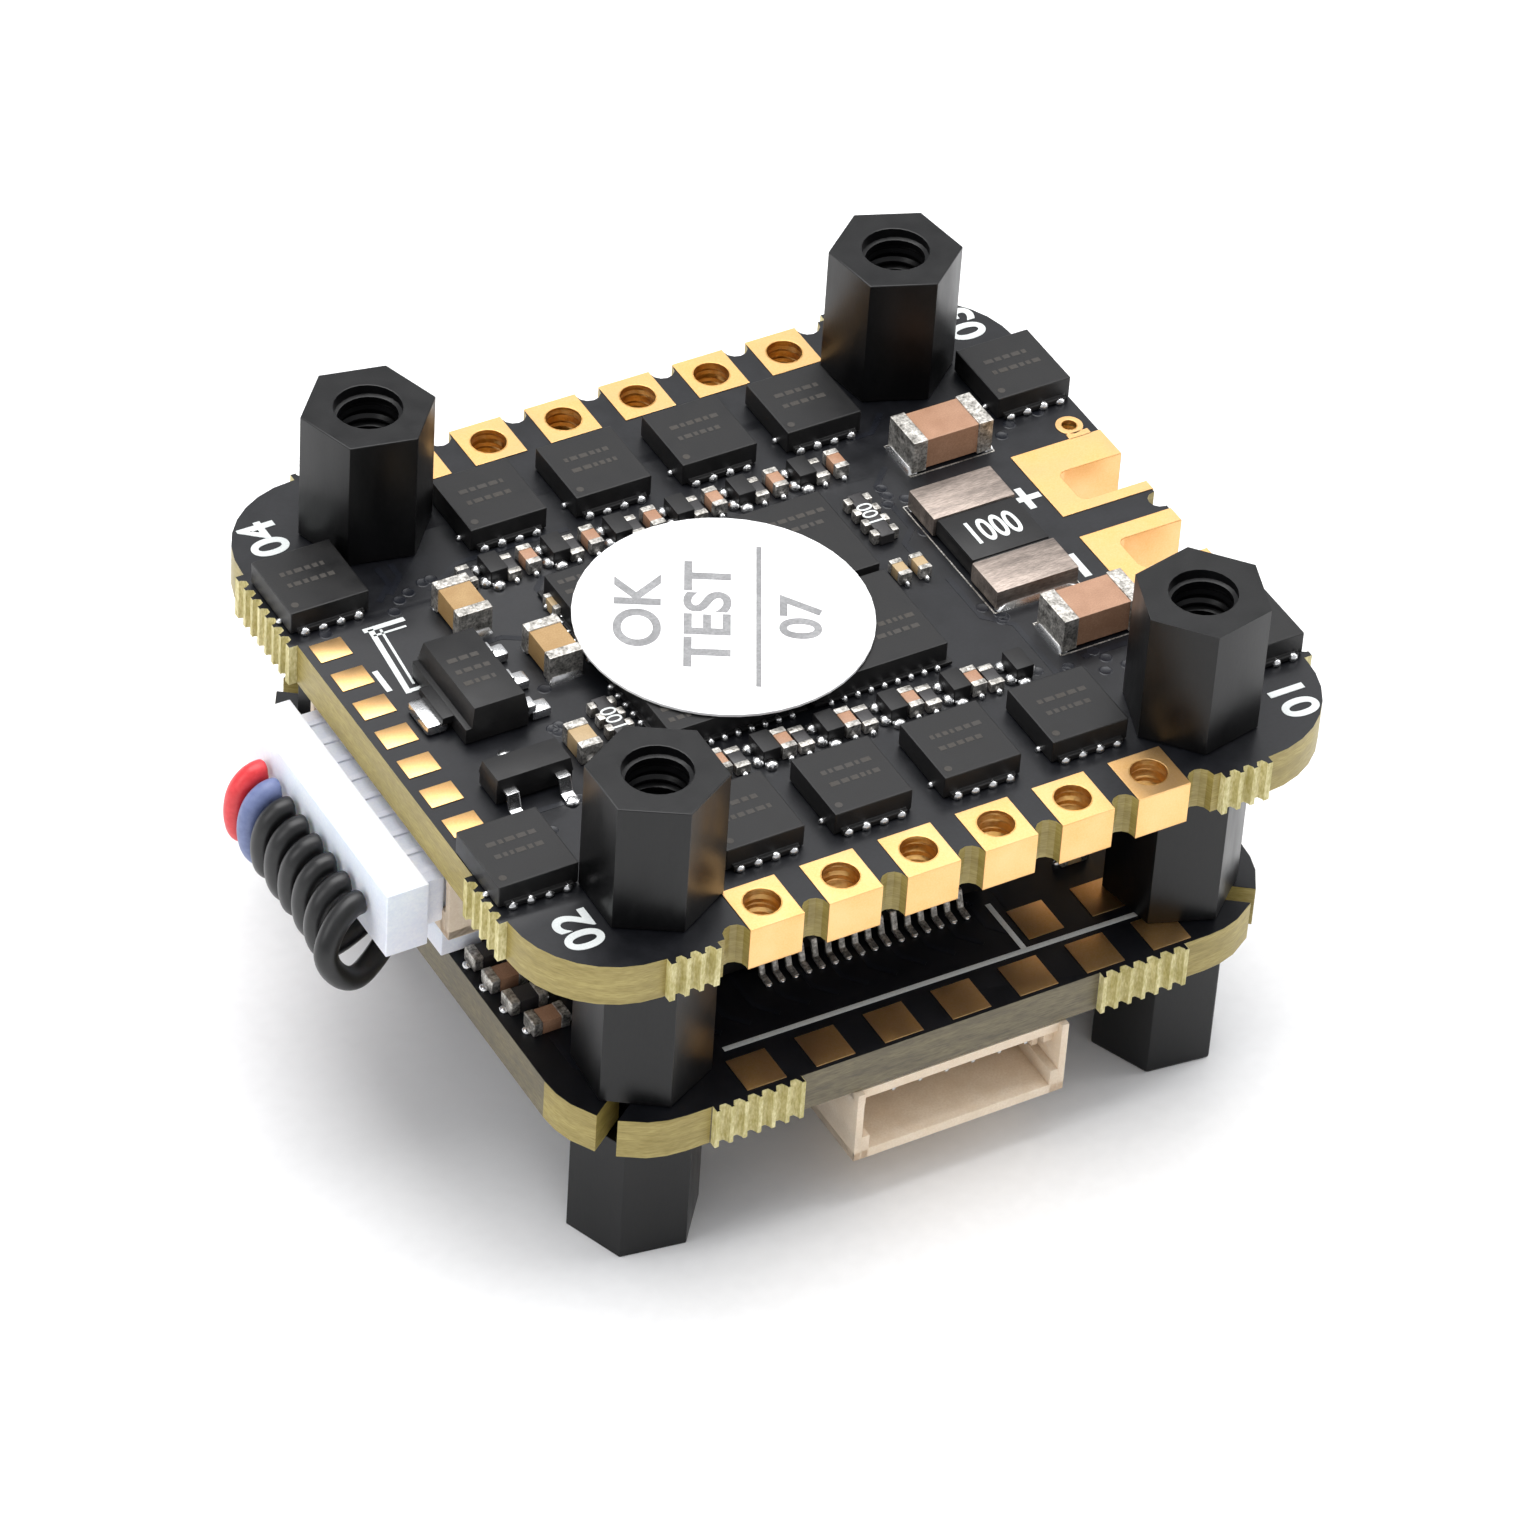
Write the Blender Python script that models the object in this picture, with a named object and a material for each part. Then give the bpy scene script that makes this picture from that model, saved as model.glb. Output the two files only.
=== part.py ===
"""Two-board drone power stack: a four-in-one motor controller above a flight controller.

Twelve hexagon standoffs in three tiers hold the boards, and an eight-wire lead joins them.
All sizes below are in millimetres, measured from the centre of the 20 mm hole square on the
plane of the feet. The whole stack hangs on one empty, which puts the origin under the middle
of its overall box.
"""

import math

import bmesh
import bpy
from mathutils import Matrix, Vector

MM = 0.001
SEAT = 0.05  # gap under each piece that rests on another

# Stack
HOLE_PITCH = 20.0
BOARD_T = 1.6
FOOT_H = 5.0
MIDDLE_H = 6.0
TOP_H = 5.0
LOWER_Z = FOOT_H
LOWER_TOP = LOWER_Z + BOARD_T
UPPER_Z = LOWER_TOP + MIDDLE_H
UPPER_TOP = UPPER_Z + BOARD_T

# Standoffs, M2 nylon
HEX_FLATS = 4.0
BORE_R = 1.15
STUD_R = 0.85
TOP_STUD_L = 5.2
MIDDLE_STUD_L = 5.6
FOOT_BORE_DEPTH = FOOT_H + 1.0  # bored right through, for a screw from below
MIDDLE_BORE_DEPTH = 4.0
TOP_BORE_DEPTH = 4.2
# How far each one ended up turned, in degrees: front left, front right, back left, back right
STANDOFF_TURNS = {
    "top": (-1.0, -18.6, 18.4, 8.4),
    "middle": (-4.0, 10.0, 25.0, 3.0),
    "foot": (21.0, 23.5, 12.0, 28.0),
}

# Upper board
UPPER_HALF_X = 14.8
UPPER_HALF_Y = 13.1
UPPER_CORNER_R = 3.6
MOTOR_PADS = 6
MOTOR_PAD_PITCH = 2.86
MOTOR_PAD_HOLE_R = 0.65
MOTOR_HOLE_Y = 12.1
PAD_NOTCH_W = 0.9
PAD_NOTCH_DEPTH = 0.5
BATTERY_SLOT_W = 1.65
BATTERY_SLOT_DEPTH = 2.5
BATTERY_SLOT_R = 0.3
BATTERY_SLOT_Y = (1.575, -2.355)
BATTERY_NOTCH_Y = -0.25
BATTERY_NOTCH_W = 0.8
BATTERY_NOTCH_DEPTH = 0.45
SENSE_HOLE = (14.0, 4.45)
SENSE_HOLE_R = 0.28

# Lower board
LOWER_HALF_X = 13.2
LOWER_HALF_Y = 12.8
LOWER_CORNER_R = 3.4
CORNER_SLOT_W = 0.7

# Broken-out panel tabs along the board edges
TAB_OUT = 0.3
RIB_PITCH = 0.52
RIB_CUT_W = 0.36
RIB_CUT_DEPTH = 0.26
UPPER_END_TABS = ((-11.1, -9.3), (9.3, 11.1))
UPPER_RIGHT_TABS = ((-9.4, -7.0), (6.4, 9.4))
UPPER_LEFT_TABS = ((-9.4, -7.0), (5.4, 9.4))
LOWER_TABS = ((-8.9, -5.6), (5.6, 8.9))

# Power transistors: two rows of four between the standoffs and one at each board corner
FET_BODY = (2.85, 2.95, 0.85)
FET_FRAME = (2.4, 3.3, 0.2)
FET_ROW_X = (-6.08, -2.12, 1.92, 5.95)
FET_ROW_Y = (-8.87, 8.7)
FET_CORNER = ((-13.35, 7.42), (13.35, 7.25), (-13.38, -7.3), (13.42, -7.7))

# Middle of the upper board
CHIP_SIZE = (4.9, 4.2, 0.85)
CHIP_CENTRE = (-1.22, -0.2)
CHIP_STEP = (5.45, 4.5)
STICKER_R = 5.0
STICKER_T = 0.1
STICKER_CENTRE = (-2.1, -0.3)
CHIP_LANDS = (0.3, 0.12)  # the solder lands: extra width over the body, and height
SHUNT_SIZE = (3.15, 5.9, 0.75)
SHUNT_END = 1.7
SHUNT_CENTRE = (8.35, 0.0)
BULK_SIZE = (3.1, 1.65, 1.3)
BULK_CENTRES = ((9.35, 5.25), (9.2, -4.95))
FILTER_SIZE = (1.95, 1.25, 1.0)
FILTER_CENTRES = ((-9.35, 4.3), (-7.65, 1.15))
REGULATOR_SIZE = (2.1, 3.9, 1.3)
REGULATOR_CENTRE = (-10.9, 0.5)
DIODE_SIZE = (2.8, 1.25, 1.0)
DIODE_CENTRE = (-11.25, -3.85)

# Connectors of 1 mm pitch
SOCKET_DEPTH = 4.25
SOCKET_H = 2.95
SOCKET_WALL = 0.4
PIN_L = 2.4
PIN_W = 0.3
PIN_WELL = 0.56
WIRES = 8
WIRE_PITCH = 1.0
WIRE_R = 0.45
WIRE_WEAVE = 0.2  # neighbouring wires pass a little above and below each other
PLUG_DEPTH = 4.5
PLUG_H = 1.75
EAR_DEPTH = 0.9
EAR_H = 2.6
UPPER_MOUTH_X = -14.5
UPPER_PLUG_X = -16.75
LOWER_MOUTH_X = -11.7
LOWER_PLUG_X = -13.6
LOWER_PLUG_Y = 2.1
FRONT_SOCKET_X = 0.5
FRONT_SOCKET_PINS = 6
FRONT_MOUTH_Y = -13.0

# Lower board's other parts
PROCESSOR_BODY = 10.0
PROCESSOR_SPAN = 11.8
PROCESSOR_H = 1.4
PROCESSOR_CENTRE = (-0.76, -2.7)
SENSOR_SIZE = (3.0, 2.5, 0.85)
SENSOR_CENTRE = (-6.0, 4.5)
FLASH_SIZE = (6.0, 5.0, 0.8)
FLASH_CENTRE = (-5.5, -4.0)
USB_SIZE = (7.3, 8.9, 3.2)
USB_CENTRE = (10.05, 0.5)
USB_WALL = 0.35
USB_DEPTH = 6.0
BUTTON_SIZE = (3.0, 3.0, 1.2)
BUTTON_CENTRE = (3.2, 6.8)
BUTTON_CAP_R = 0.75
BUTTON_CAP_H = 0.9
BUTTON_WELL_DEPTH = 0.8
BUTTON_WELL_GAP = 0.15
BUTTON_TRAVEL_ROOM = 0.35

# Overall reach of the wires to the left and of the upper board to the right
REACH_LEFT = 18.86
REACH_RIGHT = UPPER_HALF_X + TAB_OUT
ORIGIN_SHIFT = (REACH_LEFT - REACH_RIGHT) / 2

CORNERS = {
    "front_left": (-HOLE_PITCH / 2, -HOLE_PITCH / 2),
    "front_right": (HOLE_PITCH / 2, -HOLE_PITCH / 2),
    "back_left": (-HOLE_PITCH / 2, HOLE_PITCH / 2),
    "back_right": (HOLE_PITCH / 2, HOLE_PITCH / 2),
}


# ---------------------------------------------------------------- scene and materials


def clear_scene():
    for obj in list(bpy.data.objects):
        bpy.data.objects.remove(obj, do_unlink=True)


def material(name, colour, roughness, metallic=0.0):
    made = bpy.data.materials.new(name)
    made.use_nodes = True
    shader = made.node_tree.nodes["Principled BSDF"]
    shader.inputs["Base Color"].default_value = (*colour, 1.0)
    shader.inputs["Roughness"].default_value = roughness
    shader.inputs["Metallic"].default_value = metallic
    return made


clear_scene()
PARTS = bpy.data.collections.new("speed_controller_stack")
CUTTERS = bpy.data.collections.new("cutters")
bpy.context.scene.collection.children.link(PARTS)
bpy.context.scene.collection.children.link(CUTTERS)
CUTTERS.hide_render = True

MASK = material("black_solder_mask", (0.012, 0.012, 0.016), 0.4)
NYLON = material("black_nylon", (0.02, 0.02, 0.022), 0.45)
EPOXY = material("black_epoxy", (0.03, 0.03, 0.033), 0.6)
CERAMIC_BROWN = material("brown_ceramic", (0.33, 0.16, 0.09), 0.45)
CERAMIC_TAN = material("tan_ceramic", (0.5, 0.3, 0.13), 0.45)
TIN = material("tinned_copper", (0.62, 0.57, 0.52), 0.35, 1.0)
PAPER = material("white_label", (0.9, 0.9, 0.9), 0.6)
IVORY = material("ivory_nylon", (0.72, 0.6, 0.45), 0.5)
WHITE = material("white_nylon", (0.85, 0.86, 0.9), 0.45)
STEEL = material("bright_steel", (0.6, 0.6, 0.62), 0.25, 1.0)
RED = material("red_silicone", (0.65, 0.03, 0.03), 0.5)
SLATE = material("slate_silicone", (0.18, 0.22, 0.4), 0.5)
BLACK = material("black_silicone", (0.012, 0.012, 0.013), 0.5)

STACK = bpy.data.objects.new("stack_centre", None)
STACK.location = (ORIGIN_SHIFT * MM, 0.0, 0.0)
PARTS.objects.link(STACK)


# ---------------------------------------------------------------- building blocks


def mesh_object(name, mesh, collection):
    obj = bpy.data.objects.new(name, mesh)
    collection.objects.link(obj)
    return obj


def box(size, centre):
    """A block as a helper object, in millimetres."""
    bm = bmesh.new()
    place = Matrix.Translation(Vector(centre) * MM) @ Matrix.Diagonal((*[s * MM for s in size], 1.0))
    bmesh.ops.create_cube(bm, size=1.0, matrix=place)
    mesh = bpy.data.meshes.new("block")
    bm.to_mesh(mesh)
    bm.free()
    return mesh_object("block", mesh, CUTTERS)


def round_bar(radius, z_low, z_high, centre=(0.0, 0.0), sides=24, turn=0.0):
    """An upright cylinder or prism as a helper object, in millimetres."""
    bm = bmesh.new()
    middle = Vector((centre[0], centre[1], (z_low + z_high) / 2)) * MM
    bmesh.ops.create_cone(
        bm,
        cap_ends=True,
        segments=sides,
        radius1=radius * MM,
        radius2=radius * MM,
        depth=(z_high - z_low) * MM,
        matrix=Matrix.Translation(middle) @ Matrix.Rotation(turn, 4, "Z"),
    )
    mesh = bpy.data.meshes.new("bar")
    bm.to_mesh(mesh)
    bm.free()
    return mesh_object("bar", mesh, CUTTERS)


def shaped(base, joined=(), cut=()):
    """The mesh of a block after others are joined to it and cut from it; the helpers are removed."""
    for operation, helpers in (("UNION", joined), ("DIFFERENCE", cut)):
        for helper in helpers:
            helper.hide_render = True
            helper.display_type = "WIRE"
            step = base.modifiers.new(operation.lower(), "BOOLEAN")
            step.operation = operation
            step.solver = "EXACT"
            step.object = helper
    graph = bpy.context.evaluated_depsgraph_get()
    mesh = bpy.data.meshes.new_from_object(base.evaluated_get(graph))
    for helper in (base, *joined, *cut):
        bpy.data.objects.remove(helper, do_unlink=True)
    return mesh


def place(name, mesh, finish, at=(0.0, 0.0, 0.0), turn=0.0):
    """A named part of the stack, standing at a point given in millimetres."""
    obj = mesh_object(name, mesh, PARTS)
    obj.location = Vector(at) * MM
    obj.rotation_euler = (0.0, 0.0, turn)
    obj.parent = STACK
    if not mesh.materials:
        mesh.materials.append(finish)
    return obj


# ---------------------------------------------------------------- board outlines


def u_cut(middle, width, depth, edge=0.0, steps=6):
    """Points (along, out) of a round-ended recess into an edge."""
    radius = width / 2
    flat = max(depth - radius, 0.0)
    bulge = min(depth, radius)
    arc = []
    for i in range(steps + 1):
        angle = math.pi * i / steps
        arc.append((middle - radius * math.cos(angle), edge - flat - bulge * math.sin(angle)))
    if flat > 0:
        return [(middle - radius, edge), *arc, (middle + radius, edge)]
    return arc


def slot_cut(middle):
    """A battery wire's slot: a deep recess whose inner corners are rounded."""
    half = BATTERY_SLOT_W / 2
    inner = -BATTERY_SLOT_DEPTH
    points = [(middle - half, 0.0)]
    for side in (-1, 1):
        for i in range(4):
            angle = math.pi / 6 * (i if side < 0 else 3 - i)
            along = middle + side * (half - BATTERY_SLOT_R + BATTERY_SLOT_R * math.cos(angle))
            points.append((along, inner + BATTERY_SLOT_R - BATTERY_SLOT_R * math.sin(angle)))
    return points + [(middle + half, 0.0)]


def tab(start, end):
    """A broken-out panel tab: a strip standing out of the edge, with drilled ribs."""
    points = [(start, 0.0), (start, TAB_OUT)]
    ribs = int((end - start) / RIB_PITCH)
    first = (start + end - (ribs - 1) * RIB_PITCH) / 2
    for i in range(ribs):
        points += u_cut(first + i * RIB_PITCH, RIB_CUT_W, RIB_CUT_DEPTH, TAB_OUT, steps=3)
    return points + [(end, TAB_OUT), (end, 0.0)]


def corner_arc(middle, radius, start_angle, slot=None):
    """A rounded corner; with a slot, it is open along its diagonal to a round hole."""
    steps = 8
    points = []
    for i in range(steps + 1):
        angle = start_angle + math.pi / 2 * i / steps
        points.append((middle[0] + radius * math.cos(angle), middle[1] + radius * math.sin(angle)))
    if slot is None:
        return points
    hole, hole_r, width = slot
    diagonal = start_angle + math.pi / 4
    along = Vector((math.cos(diagonal), math.sin(diagonal)))
    across = Vector((-along.y, along.x)) * width / 2
    open_half = math.asin(width / 2 / hole_r)
    ring = []
    for i in range(17):
        angle = diagonal - open_half - (2 * math.pi - 2 * open_half) * i / 16
        ring.append((hole[0] + hole_r * math.cos(angle), hole[1] + hole_r * math.sin(angle)))
    outer = Vector(middle) + along * math.sqrt(radius**2 - (width / 2) ** 2)
    before = [p for p in points if (Vector(p) - Vector(middle)).dot(across) < -across.length * width]
    after = [p for p in points if (Vector(p) - Vector(middle)).dot(across) > across.length * width]
    return [*before, tuple(outer - across), *ring, tuple(outer + across), *after]


def board_outline(half_x, half_y, radius, front, right, back, left, slots=None):
    """The closed outline, anticlockwise from the front edge; each edge is a list of (along, out)."""
    slots = slots or {}
    points = []
    points += [(s, -half_y - out) for s, out in front]
    points += corner_arc((half_x - radius, radius - half_y), radius, -math.pi / 2, slots.get("front_right"))
    points += [(half_x + out, s) for s, out in right]
    points += corner_arc((half_x - radius, half_y - radius), radius, 0.0, slots.get("back_right"))
    points += [(s, half_y + out) for s, out in reversed(back)]
    points += corner_arc((radius - half_x, half_y - radius), radius, math.pi / 2, slots.get("back_left"))
    points += [(-half_x - out, s) for s, out in reversed(left)]
    points += corner_arc((radius - half_x, radius - half_y), radius, math.pi, slots.get("front_left"))
    return points


def ring(centre, radius, sides=20):
    turn = 2 * math.pi / sides
    return [
        (centre[0] + radius * math.cos(i * turn), centre[1] + radius * math.sin(i * turn))
        for i in range(sides)
    ]


def board(name, loops, z_low):
    """A flat laminate with its holes, as a filled and extruded curve."""
    curve = bpy.data.curves.new(name, "CURVE")
    curve.dimensions = "2D"
    curve.fill_mode = "BOTH"
    curve.extrude = BOARD_T / 2 * MM
    for loop in loops:
        spline = curve.splines.new("POLY")
        spline.points.add(len(loop) - 1)
        for point, (x, y) in zip(spline.points, loop):
            point.co = (x * MM, y * MM, 0.0, 1.0)
        spline.use_cyclic_u = True
    return place(name, curve, MASK, at=(0.0, 0.0, z_low + BOARD_T / 2))


def upper_board():
    pad_middles = [(i - (MOTOR_PADS - 1) / 2) * MOTOR_PAD_PITCH for i in range(MOTOR_PADS)]
    notches = [(i - MOTOR_PADS / 2) * MOTOR_PAD_PITCH for i in range(MOTOR_PADS + 1)]
    pad_edge = []
    for middle in notches:
        pad_edge += u_cut(middle, PAD_NOTCH_W, PAD_NOTCH_DEPTH)
    outline = board_outline(
        UPPER_HALF_X,
        UPPER_HALF_Y,
        UPPER_CORNER_R,
        front=tab(*UPPER_END_TABS[0]) + pad_edge + tab(*UPPER_END_TABS[1]),
        right=tab(*UPPER_RIGHT_TABS[0])
        + slot_cut(BATTERY_SLOT_Y[1])
        + u_cut(BATTERY_NOTCH_Y, BATTERY_NOTCH_W, BATTERY_NOTCH_DEPTH)
        + slot_cut(BATTERY_SLOT_Y[0])
        + tab(*UPPER_RIGHT_TABS[1]),
        back=tab(*UPPER_END_TABS[0]) + pad_edge + tab(*UPPER_END_TABS[1]),
        left=tab(*UPPER_LEFT_TABS[0]) + tab(*UPPER_LEFT_TABS[1]),
    )
    holes = [ring(corner, BORE_R) for corner in CORNERS.values()]
    holes += [ring((x, y), MOTOR_PAD_HOLE_R) for x in pad_middles for y in (-MOTOR_HOLE_Y, MOTOR_HOLE_Y)]
    holes.append(ring(SENSE_HOLE, SENSE_HOLE_R, 12))
    board("upper_board", [outline, *holes], UPPER_Z)


def lower_board():
    slots = {name: (corner, BORE_R, CORNER_SLOT_W) for name, corner in CORNERS.items()}
    outline = board_outline(
        LOWER_HALF_X,
        LOWER_HALF_Y,
        LOWER_CORNER_R,
        front=tab(*LOWER_TABS[0]) + tab(*LOWER_TABS[1]),
        right=[],
        back=tab(*LOWER_TABS[0]) + tab(*LOWER_TABS[1]),
        left=[],
        slots=slots,
    )
    board("lower_board", [outline], LOWER_Z)


# ---------------------------------------------------------------- standoffs


def standoff_mesh(height, bore_depth, stud_length):
    """A hexagon spacer standing on z = 0, bored from above and with a stud below."""
    hexagon = round_bar(HEX_FLATS / math.sqrt(3), 0.0, height, sides=6)
    bore = round_bar(BORE_R, height - bore_depth, height + 1.0)
    if not stud_length:
        return shaped(hexagon, cut=[bore])
    stud = round_bar(STUD_R, -stud_length, 1.0)
    return shaped(hexagon, joined=[stud], cut=[bore])


def standoffs():
    tiers = (
        ("foot", FOOT_H - SEAT, FOOT_BORE_DEPTH, 0.0, 0.0),
        ("middle", MIDDLE_H - 2 * SEAT, MIDDLE_BORE_DEPTH, MIDDLE_STUD_L, LOWER_TOP + SEAT),
        ("top", TOP_H - SEAT, TOP_BORE_DEPTH, TOP_STUD_L, UPPER_TOP + SEAT),
    )
    for tier, height, bore_depth, stud_length, z_low in tiers:
        mesh = standoff_mesh(height, bore_depth, stud_length)
        for (corner, (x, y)), degrees in zip(CORNERS.items(), STANDOFF_TURNS[tier]):
            turn = math.radians(degrees)
            place(f"{tier}_standoff_{corner}", mesh, NYLON, (x, y, z_low), turn)


# ---------------------------------------------------------------- upper board's parts


def transistor_mesh():
    body = box(FET_BODY, (0.0, 0.0, FET_BODY[2] / 2))
    frame = box(FET_FRAME, (0.0, 0.0, FET_FRAME[2] / 2))
    return shaped(body, joined=[frame])


def transistors():
    mesh = transistor_mesh()
    places = [(x, y) for y in FET_ROW_Y for x in FET_ROW_X]
    for number, (x, y) in enumerate(places + list(FET_CORNER), start=1):
        place(f"power_transistor_{number:02d}", mesh, EPOXY, (x, y, UPPER_TOP + SEAT))


def end_capped(size, cap, along_y=False):
    """A ceramic block with a slightly larger metal cap on each end."""
    length, width, height = size
    blocks = []
    body = box((length - 0.2, width - 0.1, height - 0.1), (0.0, 0.0, height / 2))
    for side in (-1, 1):
        blocks.append(box((cap, width, height), (side * (length - cap) / 2, 0.0, height / 2)))
    mesh = shaped(body, joined=blocks)
    if along_y:
        mesh.transform(Matrix.Rotation(math.pi / 2, 4, "Z"))
    return mesh


def capacitors():
    bulk = end_capped(BULK_SIZE, 0.55)
    for name, (x, y) in zip(("plus", "minus"), BULK_CENTRES):
        place(f"bulk_capacitor_{name}", bulk, CERAMIC_BROWN, (x, y, UPPER_TOP + SEAT))
    small = end_capped(FILTER_SIZE, 0.4, along_y=True)
    for name, (x, y) in zip(("back", "front"), FILTER_CENTRES):
        place(f"filter_capacitor_{name}", small, CERAMIC_TAN, (x, y, UPPER_TOP + SEAT))


def shunt():
    width, length, height = SHUNT_SIZE
    bridge = box((width - 0.25, length - 2.0, height - 0.1), (0.0, 0.0, height / 2 + 0.05))
    ends = []
    for side in (-1, 1):
        ends.append(box((width, SHUNT_END, height), (0.0, side * (length - SHUNT_END) / 2, height / 2)))
    place("current_shunt", shaped(bridge, joined=ends), TIN, (*SHUNT_CENTRE, UPPER_TOP + SEAT))


def regulator():
    width, length, height = REGULATOR_SIZE
    body = box(REGULATOR_SIZE, (0.0, 0.0, height / 2 + 0.05))
    feet = [box((1.4, 1.7, 0.25), (-width / 2 - 0.4, -0.2, 0.125))]
    for y in (-1.5, 0.0, 1.5):
        feet.append(box((1.2, 0.5, 0.25), (width / 2 + 0.3, y, 0.125)))
    place("voltage_regulator", shaped(body, joined=feet), EPOXY, (*REGULATOR_CENTRE, UPPER_TOP + SEAT))


def diode():
    width, depth, height = DIODE_SIZE
    body = box((width, depth, height - 0.1), (0.0, 0.0, height / 2 + 0.05))
    legs = [box((0.45, 1.1, 0.2), (0.0, 0.75, 0.1))]
    for x in (-0.93, 0.93):
        legs.append(box((0.45, 1.1, 0.2), (x, -0.75, 0.1)))
    place("clamp_diode", shaped(body, joined=legs), EPOXY, (*DIODE_CENTRE, UPPER_TOP + SEAT))


def driver_chips():
    body = box(CHIP_SIZE, (0.0, 0.0, CHIP_SIZE[2] / 2))
    wider, height = CHIP_LANDS
    lands = box((CHIP_SIZE[0] + wider, CHIP_SIZE[1] + wider, height), (0.0, 0.0, height / 2))
    mesh = shaped(body, joined=[lands])
    number = 0
    for dy in (-0.5, 0.5):
        for dx in (-0.5, 0.5):
            number += 1
            x = CHIP_CENTRE[0] + dx * CHIP_STEP[0]
            y = CHIP_CENTRE[1] + dy * CHIP_STEP[1]
            place(f"driver_chip_{number}", mesh, EPOXY, (x, y, UPPER_TOP + SEAT))


def sticker():
    low = UPPER_TOP + SEAT + CHIP_SIZE[2] + SEAT
    disc = round_bar(STICKER_R, 0.0, STICKER_T, sides=48)
    place("inspection_sticker", shaped(disc), PAPER, (*STICKER_CENTRE, low))


# ---------------------------------------------------------------- connectors and lead


def socket_mesh(pins):
    """A side-entry socket: open towards -X at x = 0, standing on z = 0, its pins inside."""
    length = (pins - 1) * WIRE_PITCH + 3.0
    shell = box((SOCKET_DEPTH, length, SOCKET_H), (SOCKET_DEPTH / 2, 0.0, SOCKET_H / 2))
    deep = SOCKET_DEPTH - SOCKET_WALL
    hollow = (deep + 1.0, length - 2 * SOCKET_WALL, SOCKET_H - 2 * SOCKET_WALL)
    cavity = box(hollow, (deep - hollow[0] / 2, 0.0, SOCKET_H / 2))
    mesh = shaped(shell, cut=[cavity])
    base = mesh_object("shell", mesh, CUTTERS)
    pegs = []
    for i in range(pins):
        y = (i - (pins - 1) / 2) * WIRE_PITCH
        pegs.append(box((PIN_L, PIN_W, PIN_W), (deep + 0.1 - PIN_L / 2, y, SOCKET_H / 2)))
    return shaped(base, joined=pegs)


def plug_mesh():
    """The lead's plug: its rear face at x = 0, its nose towards +X, centred on z = 0."""
    length = WIRES * WIRE_PITCH + 0.7
    reach = EAR_DEPTH + 0.6
    body = box((PLUG_DEPTH, length, PLUG_H), (PLUG_DEPTH / 2, 0.0, 0.0))
    rear = box((reach, WIRES * WIRE_PITCH + 2.0, EAR_H), (reach / 2, 0.0, 0.0))
    key = box((PLUG_DEPTH - 1.2, length - 1.6, 0.3), (PLUG_DEPTH / 2, 0.0, -PLUG_H / 2))
    wells = []
    for i in range(WIRES):
        y = (i - (WIRES - 1) / 2) * WIRE_PITCH
        wells.append(box((PIN_L + 0.6, PIN_WELL, PIN_WELL), (PLUG_DEPTH - PIN_L / 2 + 0.3, y, 0.0)))
    return shaped(body, joined=[rear, key], cut=wells)


def lead_route(index):
    """Points of one wire: out of the upper plug, round a tight bend and back between the boards."""
    y = (index - (WIRES - 1) / 2) * WIRE_PITCH
    spread = max(0.0, (-y - 2.0)) * 0.55
    upper_z = UPPER_Z - SEAT - SOCKET_H / 2
    lower_z = LOWER_TOP + SEAT + SOCKET_H / 2
    end_y = y + LOWER_PLUG_Y
    start = UPPER_PLUG_X - 0.1
    end = LOWER_PLUG_X - 0.1
    weave = WIRE_WEAVE if index % 2 else -WIRE_WEAVE
    return [
        (start, y, upper_z),
        (start - 0.5, y - 0.1 * spread, upper_z - 0.03),
        (start - 0.95 - 0.3 * spread, y - 0.4 * spread, upper_z - 0.5),
        (start - 1.1 - 0.6 * spread, y - 0.7 * spread, upper_z - 1.35),
        (start - 0.9 - 0.3 * spread, y + 0.05 - 0.8 * spread, lower_z + 0.65),
        (start - 0.3, y + 0.3 - 0.7 * spread, lower_z + 0.15 + weave),
        (start + 0.9, y + 0.85 - 0.3 * spread, lower_z - 0.05 + weave),
        (end - 0.9, end_y - 0.45, lower_z + 0.4 * weave),
        (end, end_y, lower_z),
    ]


def smooth(points, per_span=3):
    """A Catmull-Rom curve through the points."""
    ends = [Vector(points[0]) * 2 - Vector(points[1]), Vector(points[-1]) * 2 - Vector(points[-2])]
    guide = [ends[0], *[Vector(p) for p in points], ends[1]]
    curve = []
    for i in range(1, len(guide) - 2):
        a, b, c, d = guide[i - 1 : i + 3]
        for step in range(per_span):
            t = step / per_span
            bend = 2 * a - 5 * b + 4 * c - d
            twist = 3 * b - a - 3 * c + d
            curve.append(0.5 * (2 * b + (c - a) * t + bend * t**2 + twist * t**3))
    curve.append(guide[-2])
    return curve


def wire(name, points, finish):
    curve = bpy.data.curves.new(name, "CURVE")
    curve.dimensions = "3D"
    curve.bevel_depth = WIRE_R * MM
    curve.bevel_resolution = 2
    curve.use_fill_caps = True
    spline = curve.splines.new("POLY")
    route = smooth(points)
    spline.points.add(len(route) - 1)
    for point, at in zip(spline.points, route):
        point.co = (*(at * MM), 1.0)
    place(name, curve, finish)


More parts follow.
